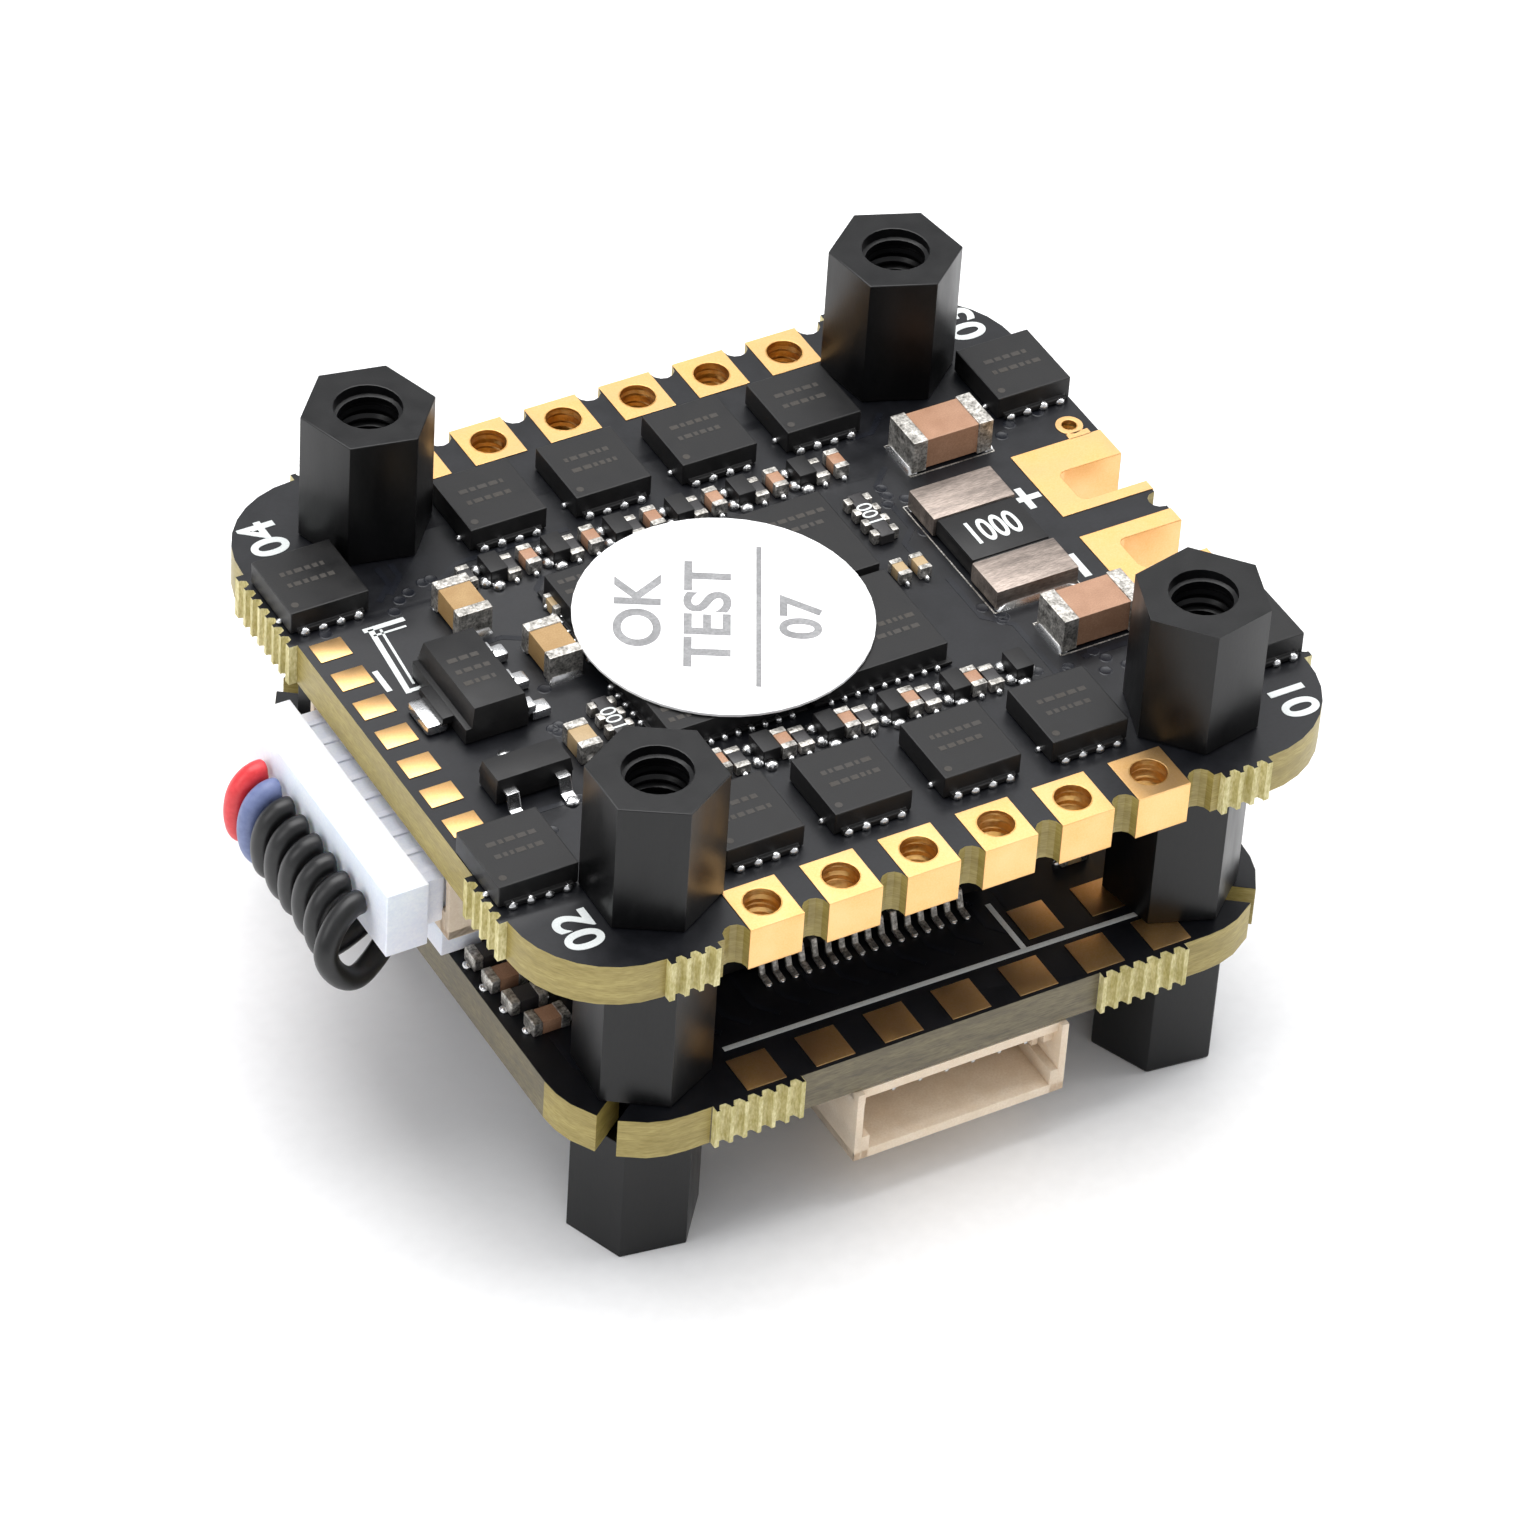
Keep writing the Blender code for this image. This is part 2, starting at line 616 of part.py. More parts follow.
def connectors():
    eight = socket_mesh(WIRES)
    hanging = eight.copy()
    hanging.transform(Matrix.Rotation(math.pi, 4, "X"))
    place("upper_socket", hanging, IVORY, (UPPER_MOUTH_X, 0.0, UPPER_Z - SEAT))
    place("lower_socket", eight, IVORY, (LOWER_MOUTH_X, LOWER_PLUG_Y, LOWER_TOP + SEAT))
    plug = plug_mesh()
    upper_z = UPPER_Z - SEAT - SOCKET_H / 2
    lower_z = LOWER_TOP + SEAT + SOCKET_H / 2
    place("upper_plug", plug, WHITE, (UPPER_PLUG_X, 0.0, upper_z))
    place("lower_plug", plug, WHITE, (LOWER_PLUG_X, LOWER_PLUG_Y, lower_z))
    colours = {WIRES - 1: ("red", RED), WIRES - 2: ("slate", SLATE)}
    for i in range(WIRES):
        colour, finish = colours.get(i, (f"black_{i + 1}", BLACK))
        wire(f"wire_{colour}", lead_route(i), finish)
    front = socket_mesh(FRONT_SOCKET_PINS)
    front.transform(Matrix.Rotation(math.pi, 4, "X"))
    place("front_socket", front, IVORY, (FRONT_SOCKET_X, FRONT_MOUTH_Y, LOWER_Z - SEAT), math.pi / 2)


# ---------------------------------------------------------------- lower board's parts


def processor():
    body = box((PROCESSOR_BODY, PROCESSOR_BODY, PROCESSOR_H), (0.0, 0.0, PROCESSOR_H / 2 + 0.1))
    rows = []
    for size in ((PROCESSOR_SPAN, 7.8, 0.22), (7.8, PROCESSOR_SPAN, 0.22)):
        rows.append(box(size, (0.0, 0.0, 0.11)))
    place("processor", shaped(body, joined=rows), EPOXY, (*PROCESSOR_CENTRE, LOWER_TOP + SEAT))


def under_chips():
    for name, size, centre in (
        ("motion_sensor", SENSOR_SIZE, SENSOR_CENTRE),
        ("flash_memory", FLASH_SIZE, FLASH_CENTRE),
    ):
        body = box(size, (0.0, 0.0, -size[2] / 2))
        wider, height = CHIP_LANDS
        lands = box((size[0] + wider, size[1] - wider, height), (0.0, 0.0, -height / 2))
        place(name, shaped(body, joined=[lands]), EPOXY, (*centre, LOWER_Z - SEAT))


def usb_socket():
    """A shell open towards +X with its contact tongue."""
    depth, width, height = USB_SIZE
    shell = box(USB_SIZE, (0.0, 0.0, -height / 2))
    mouth = (USB_DEPTH + 1.0, width - 2 * USB_WALL, height - 2 * USB_WALL)
    cavity = box(mouth, (depth / 2 - USB_DEPTH + mouth[0] / 2, 0.0, -height / 2))
    mesh = shaped(shell, cut=[cavity])
    tongue = box((4.7, 6.7, 0.7), (-depth / 2 + 3.35, 0.0, -height / 2))
    shell = shaped(mesh_object("shell", mesh, CUTTERS), joined=[tongue])
    place("usb_socket", shell, STEEL, (*USB_CENTRE, LOWER_Z - SEAT))


def boot_button():
    """A press button under the board: a body with a well, and the cap that travels in it."""
    height = BUTTON_SIZE[2]
    body = box(BUTTON_SIZE, (0.0, 0.0, -height / 2))
    well_r = BUTTON_CAP_R + BUTTON_WELL_GAP
    well = round_bar(well_r, -height - 1.0, -height + BUTTON_WELL_DEPTH)
    place("boot_button_body", shaped(body, cut=[well]), STEEL, (*BUTTON_CENTRE, LOWER_Z - SEAT))
    cap_top = LOWER_Z - SEAT - height + BUTTON_WELL_DEPTH - BUTTON_TRAVEL_ROOM
    cap = shaped(round_bar(BUTTON_CAP_R, -BUTTON_CAP_H, 0.0))
    place("boot_button_cap", cap, EPOXY, (*BUTTON_CENTRE, cap_top))


upper_board()
lower_board()
standoffs()
transistors()
capacitors()
shunt()
regulator()
diode()
driver_chips()
sticker()
connectors()
processor()
under_chips()
usb_socket()
boot_button()
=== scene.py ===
"""A two-board drone power stack: the motor controller above, the flight controller below.

Lengths are in millimetres from the centre of the 20 mm hole square until `at` turns them into
the shared frame.
"""

import math
import random

import bmesh
import bpy
from mathutils import Matrix, Vector


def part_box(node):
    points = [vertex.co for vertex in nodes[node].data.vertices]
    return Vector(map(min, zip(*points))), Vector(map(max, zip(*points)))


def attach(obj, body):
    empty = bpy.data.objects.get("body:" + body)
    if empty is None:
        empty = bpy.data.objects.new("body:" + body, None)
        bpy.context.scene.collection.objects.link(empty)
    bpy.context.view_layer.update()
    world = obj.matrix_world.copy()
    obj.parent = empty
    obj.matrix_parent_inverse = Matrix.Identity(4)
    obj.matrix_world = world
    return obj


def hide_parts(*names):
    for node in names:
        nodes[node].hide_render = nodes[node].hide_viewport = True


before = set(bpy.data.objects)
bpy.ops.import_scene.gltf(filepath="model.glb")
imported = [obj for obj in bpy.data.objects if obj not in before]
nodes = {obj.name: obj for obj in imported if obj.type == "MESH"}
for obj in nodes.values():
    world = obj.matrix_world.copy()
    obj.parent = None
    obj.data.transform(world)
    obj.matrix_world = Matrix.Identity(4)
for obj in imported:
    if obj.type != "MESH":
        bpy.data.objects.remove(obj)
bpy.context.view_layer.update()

MM = 0.001
board_low, board_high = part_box("upper_board")
MIDDLE = Vector(((board_low.x + board_high.x) / 2, (board_low.y + board_high.y) / 2, 0.0))
DECK = board_high.z / MM  # top of the upper board
UNDERSIDE = board_low.z / MM
LOWER_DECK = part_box("lower_board")[1].z / MM
LOWER_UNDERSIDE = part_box("lower_board")[0].z / MM
EDGE_X, EDGE_Y = 14.8, 13.1  # straight edges of the upper board, without its tabs
LOWER_EDGE_X, LOWER_EDGE_Y = 13.2, 12.8
CORNERS = {
    "front_left": (-10, -10),
    "front_right": (10, -10),
    "back_left": (-10, 10),
    "back_right": (10, 10),
}


def at(x, y, z):
    return Vector((x, y, z)) * MM + MIDDLE


def box_of(node):
    """The corners of a node's box, in millimetres from the middle of the hole square."""
    low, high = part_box(node)
    return (low - MIDDLE) / MM, (high - MIDDLE) / MM


def middle_of(node):
    """The middle of a node in x and y, and the heights of its underside and top."""
    low, high = box_of(node)
    return (low.x + high.x) / 2, (low.y + high.y) / 2, low.z, high.z


# ---------------------------------------------------------------- finishes


def colour(code):
    """An sRGB hex colour as linear RGBA."""
    parts = [int(code[i : i + 2], 16) / 255 for i in (1, 3, 5)]
    return (*[p / 12.92 if p <= 0.04045 else ((p + 0.055) / 1.055) ** 2.4 for p in parts], 1.0)


def add(tree, kind, sockets=None, **settings):
    """A node with its settings; a socket value that is itself a socket is linked."""
    made = tree.nodes.new(kind)
    for name, value in settings.items():
        setattr(made, name, value)
    for name, value in (sockets or {}).items():
        if isinstance(value, bpy.types.NodeSocket):
            tree.links.new(value, made.inputs[name])
        else:
            made.inputs[name].default_value = value
    return made


def finish_of(name, base, roughness, other, grain=0.1, depth=0.002, patch=0.8, stretch=(1, 1, 1), **shader):
    """A surface with a fine grain (its size in mm), broad patches of a second colour and a bump."""
    made = bpy.data.materials.new(name)
    made.use_nodes = True
    tree = made.node_tree
    bsdf = tree.nodes["Principled BSDF"]
    for socket, value in shader.items():
        bsdf.inputs[socket.replace("_", " ")].default_value = value
    place = add(tree, "ShaderNodeTexCoord").outputs["Object"]
    place = add(tree, "ShaderNodeMapping", {"Vector": place, "Scale": stretch}).outputs["Vector"]
    fine = add(tree, "ShaderNodeTexNoise", {"Vector": place, "Scale": 1 / (grain * MM), "Detail": 3.0})
    broad = add(tree, "ShaderNodeTexNoise", {"Vector": place, "Scale": 1 / (patch * MM), "Detail": 4.0})
    factors = {0: fine.outputs["Fac"], 1: broad.outputs["Fac"]}
    blend = add(tree, "ShaderNodeMath", factors, operation="MULTIPLY")
    level = add(tree, "ShaderNodeMapRange", {"Value": blend.outputs[0], "From Min": 0.12, "From Max": 0.4})
    tint = add(tree, "ShaderNodeMix", {"Factor": level.outputs[0]}, data_type="RGBA")
    tint.inputs["A"].default_value = colour(base)
    tint.inputs["B"].default_value = colour(other)
    tree.links.new(tint.outputs["Result"], bsdf.inputs["Base Color"])
    rough = {"Value": broad.outputs["Fac"], "From Min": 0.3, "From Max": 0.7}
    rough |= {"To Min": roughness * 0.85, "To Max": roughness * 1.15}
    tree.links.new(add(tree, "ShaderNodeMapRange", rough).outputs[0], bsdf.inputs["Roughness"])
    if depth:
        bump = {"Height": fine.outputs["Fac"], "Strength": 1.0, "Distance": depth * MM}
        tree.links.new(add(tree, "ShaderNodeBump", bump).outputs[0], bsdf.inputs["Normal"])
    return made


# Liquid solder mask over glass epoxy: satin, slightly blue, and smooth where copper lies under it
MASK = finish_of(
    "matt_black_solder_mask", "#0d0e12", 0.38, "#15161b", grain=0.12, depth=0.001, Specular_IOR_Level=0.4
)
TRACK = finish_of(
    "solder_mask_over_copper", "#13151b", 0.32, "#1b1d24", grain=0.1, depth=0.001, Specular_IOR_Level=0.4
)
# Routed glass-epoxy laminate: olive resin with pale glass layers lying flat in it
LAMINATE = finish_of(
    "routed_glass_epoxy", "#857536", 0.45, "#a8985a", grain=0.1, patch=0.6, stretch=(0.3, 0.3, 2.0)
)
TORN = finish_of(
    "broken_glass_epoxy", "#ab9f5c", 0.62, "#e2d9a8", grain=0.12, depth=0.01, stretch=(1.6, 1.6, 0.6)
)
# The lower board's routed edge: the same laminate painted greyer and darker, as painted shade
SHADED_LAMINATE = finish_of(
    "glass_epoxy_painted_shade", "#534b39", 0.45, "#776e54", grain=0.1, patch=0.6, stretch=(0.3, 0.3, 2.0)
)
# Electroless nickel under immersion gold: pale, even and a little soft
GOLD = finish_of(
    "immersion_gold", "#efc38b", 0.4, "#e7b774", grain=0.06, depth=0.0012, patch=1.6, Metallic=1.0
)
# Drilled barrel, plated over the glass ends, so it is ribbed and darker than the pads
BARREL = finish_of("plated_hole_wall", "#c99a52", 0.4, "#e0b676", grain=0.16, depth=0.02, Metallic=1.0)
# Reflowed tin-silver-copper solder: mirror-bright beads
SOLDER = finish_of("reflowed_solder", "#eeeeee", 0.26, "#d2d3d4", grain=0.1, depth=0.004, Metallic=1.0)
# Sintered and tinned ends of ceramic parts: grainy grey-white
TINNED = finish_of(
    "tinned_end_cap", "#6f6c66", 0.42, "#eeeae3", grain=0.09, depth=0.012, patch=0.3, Metallic=0.8
)
# Punched copper alloy, tinned and scratched along its length
SHUNT_METAL = finish_of(
    "rolled_tinned_copper",
    "#7f756e",
    0.45,
    "#b5a79d",
    grain=0.09,
    depth=0.008,
    stretch=(0.4, 2.5, 1),
    Metallic=0.85,
)
# Moulded silica-filled epoxy: dark grey, very finely granular
EPOXY = finish_of("moulded_epoxy", "#141415", 0.46, "#1c1b1b", grain=0.05, Specular_IOR_Level=0.36)
# Where the laser has burnt it the epoxy is paler and rough
CHARRED = finish_of("laser_marked_epoxy", "#383532", 0.75, "#45413c", grain=0.08)
# Barium titanate ceramic: fired, waxy, brown or tan by its grade
BROWN = finish_of("fired_brown_ceramic", "#9d7459", 0.42, "#b38a6e", grain=0.05)
TAN = finish_of("fired_tan_ceramic", "#9d7a4a", 0.42, "#b09061", grain=0.05)
BEIGE = finish_of("fired_beige_ceramic", "#a9906a", 0.45, "#b89f78", grain=0.05)
# Resistors: a dark glaze over alumina, glossier than epoxy
ALUMINA = finish_of("glazed_alumina", "#2d2c2d", 0.35, "#383637", grain=0.06)
# Nylon 66 turned from bar: satin with fine turning lines and a warm sheen
NYLON = finish_of(
    "turned_black_nylon", "#070708", 0.33, "#0d0d0e", grain=0.09, stretch=(1, 1, 0.3), Specular_IOR_Level=0.34
)
# Moulded nylon connector housings
IVORY = finish_of(
    "moulded_ivory_nylon", "#dfc9ad", 0.5, "#ecdac2", grain=0.07, depth=0.003, Subsurface_Weight=0.1
)
WHITE = finish_of("moulded_white_nylon", "#e9ebf7", 0.42, "#f5f6fc", grain=0.09, Subsurface_Weight=0.12)
# Silicone rubber insulation: soft sheen, no grain to see
RED = finish_of("red_silicone", "#cf2a30", 0.38, "#dc3c41", grain=0.2, depth=0.001)
SLATE = finish_of("slate_silicone", "#616d96", 0.42, "#6f7ba4", grain=0.2, depth=0.001)
BLACK = finish_of("black_silicone", "#0b0b0c", 0.38, "#141415", grain=0.2, depth=0.001)
# Screen-printed legend ink, vinyl label and its print
LEGEND = finish_of("white_legend_ink", "#e4e8e6", 0.6, "#cfd4d3", grain=0.06, depth=0.003)
VINYL = finish_of("white_vinyl_label", "#fcfcfc", 0.45, "#ffffff", grain=0.1, depth=0.0006)
PRINT = finish_of("grey_label_print", "#7f7f80", 0.6, "#9b9b9c", grain=0.09, depth=0.0)
# Stamped and nickel-plated steel shells
NICKEL = finish_of("nickel_plated_steel", "#c9c8c6", 0.26, "#b5b4b2", grain=0.12, Metallic=1.0)


# ---------------------------------------------------------------- meshes


def object_of(name, mesh, *finishes):
    for each in finishes:
        mesh.materials.append(each)
    made = bpy.data.objects.new(name, mesh)
    bpy.context.scene.collection.objects.link(made)
    return made


PAD_CREASE, BEAD_CREASE = 16, 70


def evaluated(holder):
    """The mesh that an object comes to with its modifiers, or that its curve or text makes."""
    graph = bpy.context.evaluated_depsgraph_get()
    return bpy.data.meshes.new_from_object(holder.evaluated_get(graph))


def settle(piece, slot, *stands_for, body="stack", crease=20):
    """The last word on a piece: shaded smooth by angle, riding on its body."""
    piece.data.shade_smooth()
    piece.data.set_sharp_from_angle(angle=math.radians(crease))
    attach(piece, body)
    if stands_for:
        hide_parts(*stands_for)


def mesh_from(name, bm):
    bmesh.ops.recalc_face_normals(bm, faces=bm.faces)
    mesh = bpy.data.meshes.new(name)
    bm.to_mesh(mesh)
    bm.free()
    return mesh


def placed(name, bm, *finishes):
    """A piece from what was drawn round the middle of the hole square."""
    bm.transform(Matrix.Translation(MIDDLE))
    return object_of(name, mesh_from(name, bm), *finishes)


def block(bm, size, centre=(0, 0, 0), soft=0.05, finish=0, turn=0.0, taper=0.0):
    """A block with rounded edges, in millimetres; its top may be smaller all round by the taper."""
    where = Matrix.Translation(Vector(centre) * MM) @ Matrix.Rotation(turn, 4, "Z")
    made = bmesh.ops.create_cube(bm, size=1.0)["verts"]
    for v in made:
        inset = taper if v.co.z > 0 else 0.0
        scale = (size[0] - 2 * inset, size[1] - 2 * inset, size[2])
        v.co = where @ Vector([c * s * MM for c, s in zip(v.co, scale)])
    faces = {f for v in made for f in v.link_faces}
    edges = {e for v in made for e in v.link_edges}
    for f in faces:
        f.material_index = finish
    if soft:
        eased = {"offset": soft * MM, "segments": 2, "profile": 0.6, "affect": "EDGES", "material": finish}
        bmesh.ops.bevel(bm, geom=list(edges), **eased)


def disc(bm, radius, low, high, centre, sides):
    where = Matrix.Translation(Vector((*centre, (low + high) / 2)) * MM)
    size = {"radius1": radius * MM, "radius2": radius * MM, "depth": (high - low) * MM}
    bmesh.ops.create_cone(bm, cap_ends=True, segments=sides, matrix=where, **size)


def bead(bm, centre, size, seed):
    """A bead of solder: a low uneven dome."""
    where = Matrix.Translation(Vector(centre) * MM) @ Matrix.Diagonal((*[s / 2 * MM for s in size], 1))
    made = bmesh.ops.create_icosphere(bm, subdivisions=2, radius=1.0, matrix=where)["verts"]
    wobble = random.Random(seed)
    for v in made:
        v.co.z = max(v.co.z, centre[2] * MM - 0.3 * size[2] * MM)
        v.co.x += wobble.uniform(-0.02, 0.02) * size[0] * MM


def dress(node, soft, slot, *finishes, pick=None, body="stack"):
    """A finished copy of a CAD solid: its flat faces are made whole and its edges eased."""
    bm = bmesh.new()
    bm.from_mesh(nodes[node].data)
    bmesh.ops.remove_doubles(bm, verts=bm.verts, dist=2e-6)
    bmesh.ops.dissolve_limit(bm, angle_limit=math.radians(1.0), verts=bm.verts, edges=bm.edges)
    if soft:
        bm.normal_update()
        sharp = [e for e in bm.edges if len(e.link_faces) == 2 and e.calc_face_angle(0) > math.radians(35)]
        eased = {"offset": soft * MM, "segments": 2, "profile": 0.6, "affect": "EDGES", "clamp_overlap": True}
        bmesh.ops.bevel(bm, geom=sharp, **eased)
    bmesh.ops.recalc_face_normals(bm, faces=bm.faces)
    if pick:
        for f in bm.faces:
            f.material_index = pick((f.calc_center_median() - MIDDLE) / MM, f.normal)
    settle(object_of(f"{node}_dressed", mesh_from(node, bm), *finishes), slot, node, body=body)


def cut_sheet(name, loops, low, high, soft, *finishes):
    """A sheet cut to outlines, the first of which is outside and the others holes."""
    curve = bpy.data.curves.new(name, "CURVE")
    curve.dimensions = "2D"
    curve.fill_mode = "BOTH"
    curve.extrude = ((high - low) / 2 - soft) * MM
    curve.bevel_depth = soft * MM
    curve.bevel_resolution = 1
    curve.offset = -soft * MM
    for loop in loops:
        spline = curve.splines.new("POLY")
        spline.points.add(len(loop) - 1)
        for point, (x, y) in zip(spline.points, loop):
            point.co = (x * MM, y * MM, 0.0, 1.0)
        spline.use_cyclic_u = True
    return plain(name, curve, (0, 0, (low + high) / 2), 0.0, finishes)


def plain(name, curve, centre, turn, finishes, squeeze=1.0):
    """A curve or text turned into a mesh in its place."""
    holder = object_of(name, curve)
    mesh = evaluated(holder)
    bpy.data.objects.remove(holder)
    mesh.materials.clear()
    bm = bmesh.new()
    bm.from_mesh(mesh)
    bmesh.ops.remove_doubles(bm, verts=bm.verts, dist=1e-7)
    turned = Matrix.Rotation(turn, 4, "Z") @ Matrix.Diagonal((squeeze, 1, 1, 1))
    bm.transform(Matrix.Translation(at(*centre)) @ turned)
    bm.to_mesh(mesh)
    bm.free()
    return object_of(name, mesh, *finishes)


def lettering(name, words, height, centre, turn, finish, thick=0.02, bold=0.0, squeeze=1.0):
    text = bpy.data.curves.new(name, "FONT")
    text.body = words
    text.align_x = text.align_y = "CENTER"
    text.size = height * MM
    text.extrude = thick / 2 * MM
    text.offset = bold * MM
    return plain(name, text, centre, turn, (finish,), squeeze)


def joined(name, pieces):
    """Several meshes made into one piece."""
    bm = bmesh.new()
    finishes = []
    for piece in pieces:
        shift = len(finishes)
        own = bmesh.new()
        own.from_mesh(piece.data)
        for f in own.faces:
            f.material_index += shift
        mesh = bpy.data.meshes.new("part")
        own.to_mesh(mesh)
        own.free()
        bm.from_mesh(mesh)
        finishes += list(piece.data.materials)
        bpy.data.objects.remove(piece)
    mesh = bpy.data.meshes.new(name)
    bm.to_mesh(mesh)
    bm.free()
    return object_of(name, mesh, *finishes)


def ring(x, y, radius, sides=28):
    turns = [-2 * math.pi * i / sides for i in range(sides)]
    return [(x + radius * math.cos(turn), y + radius * math.sin(turn)) for turn in turns]


# ---------------------------------------------------------------- geometry node trees


def new_tree(name, kind, *labels):
    """A tree with inputs of one kind, and one more for the finish."""
    tree = bpy.data.node_groups.new(name, "GeometryNodeTree")
    tree.interface.new_socket("Geometry", in_out="INPUT", socket_type="NodeSocketGeometry")
    tree.interface.new_socket("Geometry", in_out="OUTPUT", socket_type="NodeSocketGeometry")
    for label in labels:
        tree.interface.new_socket(label, in_out="INPUT", socket_type=kind)
    tree.interface.new_socket("Finish", in_out="INPUT", socket_type="NodeSocketMaterial")
    return tree, add(tree, "NodeGroupInput").outputs


def end_tree(tree, geometry, finish):
    real = add(tree, "GeometryNodeRealizeInstances", {"Geometry": geometry})
    painted = add(tree, "GeometryNodeSetMaterial", {"Geometry": real.outputs[0], "Material": finish})
    add(tree, "NodeGroupOutput", {"Geometry": painted.outputs[0]})


def planting_tree():
    """Sets a copy of one shape on every point, with the point's own turn and size."""
    tree, given = new_tree("set_shapes", "NodeSocketObject", "Shape")
    shape = add(tree, "GeometryNodeObjectInfo", {"Object": given["Shape"], "As Instance": True})
    turn = add(tree, "GeometryNodeInputNamedAttribute", {"Name": "turn"}, data_type="FLOAT_VECTOR")
    size = add(tree, "GeometryNodeInputNamedAttribute", {"Name": "size"}, data_type="FLOAT_VECTOR")
    spin = add(tree, "FunctionNodeEulerToRotation", {"Euler": turn.outputs["Attribute"]})
    planted = add(
        tree,
        "GeometryNodeInstanceOnPoints",
        {
            "Points": given["Geometry"],
            "Instance": shape.outputs["Geometry"],
            "Rotation": spin.outputs[0],
            "Scale": size.outputs["Attribute"],
        },
    )
    end_tree(tree, planted.outputs[0], given["Finish"])
    return tree


def thread_tree():
    """The ridge of a screw thread: a pointed section wound up a spiral."""
    tree, given = new_tree("wind_a_thread", "NodeSocketFloat", "Radius", "Pitch", "Turns", "Ridge")
    rise = add(tree, "ShaderNodeMath", {0: given["Pitch"], 1: given["Turns"]}, operation="MULTIPLY")
    spiral = add(
        tree,
        "GeometryNodeCurveSpiral",
        {
            "Resolution": 28,
            "Rotations": given["Turns"],
            "Start Radius": given["Radius"],
            "End Radius": given["Radius"],
            "Height": rise.outputs[0],
        },
    )
    section = add(tree, "GeometryNodeCurvePrimitiveCircle", {"Resolution": 5, "Radius": given["Ridge"]})
    ridge = add(
        tree,
        "GeometryNodeCurveToMesh",
        {"Curve": spiral.outputs[0], "Profile Curve": section.outputs["Curve"], "Fill Caps": True},
    )
    end_tree(tree, ridge.outputs[0], given["Finish"])
    return tree


def strip_tree():
    """A flat strip, as wide and high as asked, laid along each path: copper under the mask, or a rim of
    painted highlight.
    """
    tree, given = new_tree("lay_a_strip", "NodeSocketFloat", "Width", "Height")
    section = add(
        tree, "GeometryNodeCurvePrimitiveQuadrilateral", {"Width": given["Width"], "Height": given["Height"]}
    )
    laid = add(
        tree,
        "GeometryNodeCurveToMesh",
        {"Curve": given["Geometry"], "Profile Curve": section.outputs[0], "Fill Caps": True},
    )
    end_tree(tree, laid.outputs[0], given["Finish"])
    return tree


PLANTING = planting_tree()
THREAD = thread_tree()
STRIP = strip_tree()


def grown(holder, tree, **inputs):
    """Runs a tree on an object and returns the plain mesh."""
    modifier = holder.modifiers.new("made", "NODES")
    modifier.node_group = tree
    for item in tree.interface.items_tree:
        if item.in_out == "INPUT" and item.name in inputs:
            modifier[item.identifier] = inputs[item.name]
    holder.update_tag()
    mesh = evaluated(holder)
    holder.modifiers.remove(modifier)
    return mesh


def planted(name, shape, spots, finish):
    """One mesh of a shape repeated at spots: place, turn about Z in degrees, size, hung or not."""
    points = bpy.data.meshes.new(name)
    points.from_pydata([tuple(at(*spot[0])) for spot in spots], [], [])
    turn = points.attributes.new("turn", "FLOAT_VECTOR", "POINT")
    size = points.attributes.new("size", "FLOAT_VECTOR", "POINT")
    for i, (_, angle, *rest) in enumerate(spots):
        flip = math.pi if len(rest) > 1 and rest[1] else 0.0
        turn.data[i].vector = (flip, 0.0, math.radians(angle))
        size.data[i].vector = rest[0] if rest else (1, 1, 1)
    holder = object_of(name + "_points", points)
    seed = object_of("seed", shape)
    mesh = grown(holder, PLANTING, Shape=seed, Finish=finish)
    bpy.data.objects.remove(holder)
    bpy.data.objects.remove(seed)
    return object_of(name, mesh)


def strips(name, paths, z, width, height, finish):
    curve = bpy.data.curves.new(name, "CURVE")
    curve.dimensions = "3D"
    for path in paths:
        spline = curve.splines.new("POLY")
        spline.points.add(len(path) - 1)
        for point, (x, y) in zip(spline.points, path):
            point.co = (*at(x, y, z), 1.0)
    holder = object_of(name, curve)
    mesh = grown(holder, STRIP, Width=width * MM, Height=height * MM, Finish=finish)
    bpy.data.objects.remove(holder)
    return object_of(name, mesh)


def shape_of(build):
    """A mesh made by a function that draws into an empty bmesh."""
    bm = bmesh.new()
    build(bm)
    return mesh_from("shape", bm)


# ---------------------------------------------------------------- the boards


def is_tab(point, reach_x, reach_y):
    return abs(point.x) > reach_x + 0.02 or abs(point.y) > reach_y + 0.02


def board_pick(reach_x, reach_y):
    """Mask on the faces, torn glass on the broken tabs, clean laminate on the routed edges."""

    def pick(point, normal):
        if abs(normal.z) > 0.9 and not is_tab(point, reach_x, reach_y):
            return 0
        if is_tab(point, reach_x, reach_y):
            return 2
        return 3 if min(abs(point.x), abs(point.y)) > 9.0 else 1

    return pick


# The lower board's routed edge takes the laminate with painted shade
for node, routed, reach in (
    ("upper_board", LAMINATE, (EDGE_X, EDGE_Y)),
    ("lower_board", SHADED_LAMINATE, (LOWER_EDGE_X, LOWER_EDGE_Y)),
):
    dress(node, 0.03, "solder_mask", MASK, routed, TORN, LAMINATE, pick=board_pick(*reach))

PAD = 0.035  # height of a bare copper pad with its plating
PAD_LAYERS = ((DECK, DECK + PAD), (UNDERSIDE - PAD, UNDERSIDE))
PAD_PITCH, PAD_ROW, PAD_HALF, PAD_INNER, HOLE = 2.86, 12.1, 0.975, 11.13, 0.65


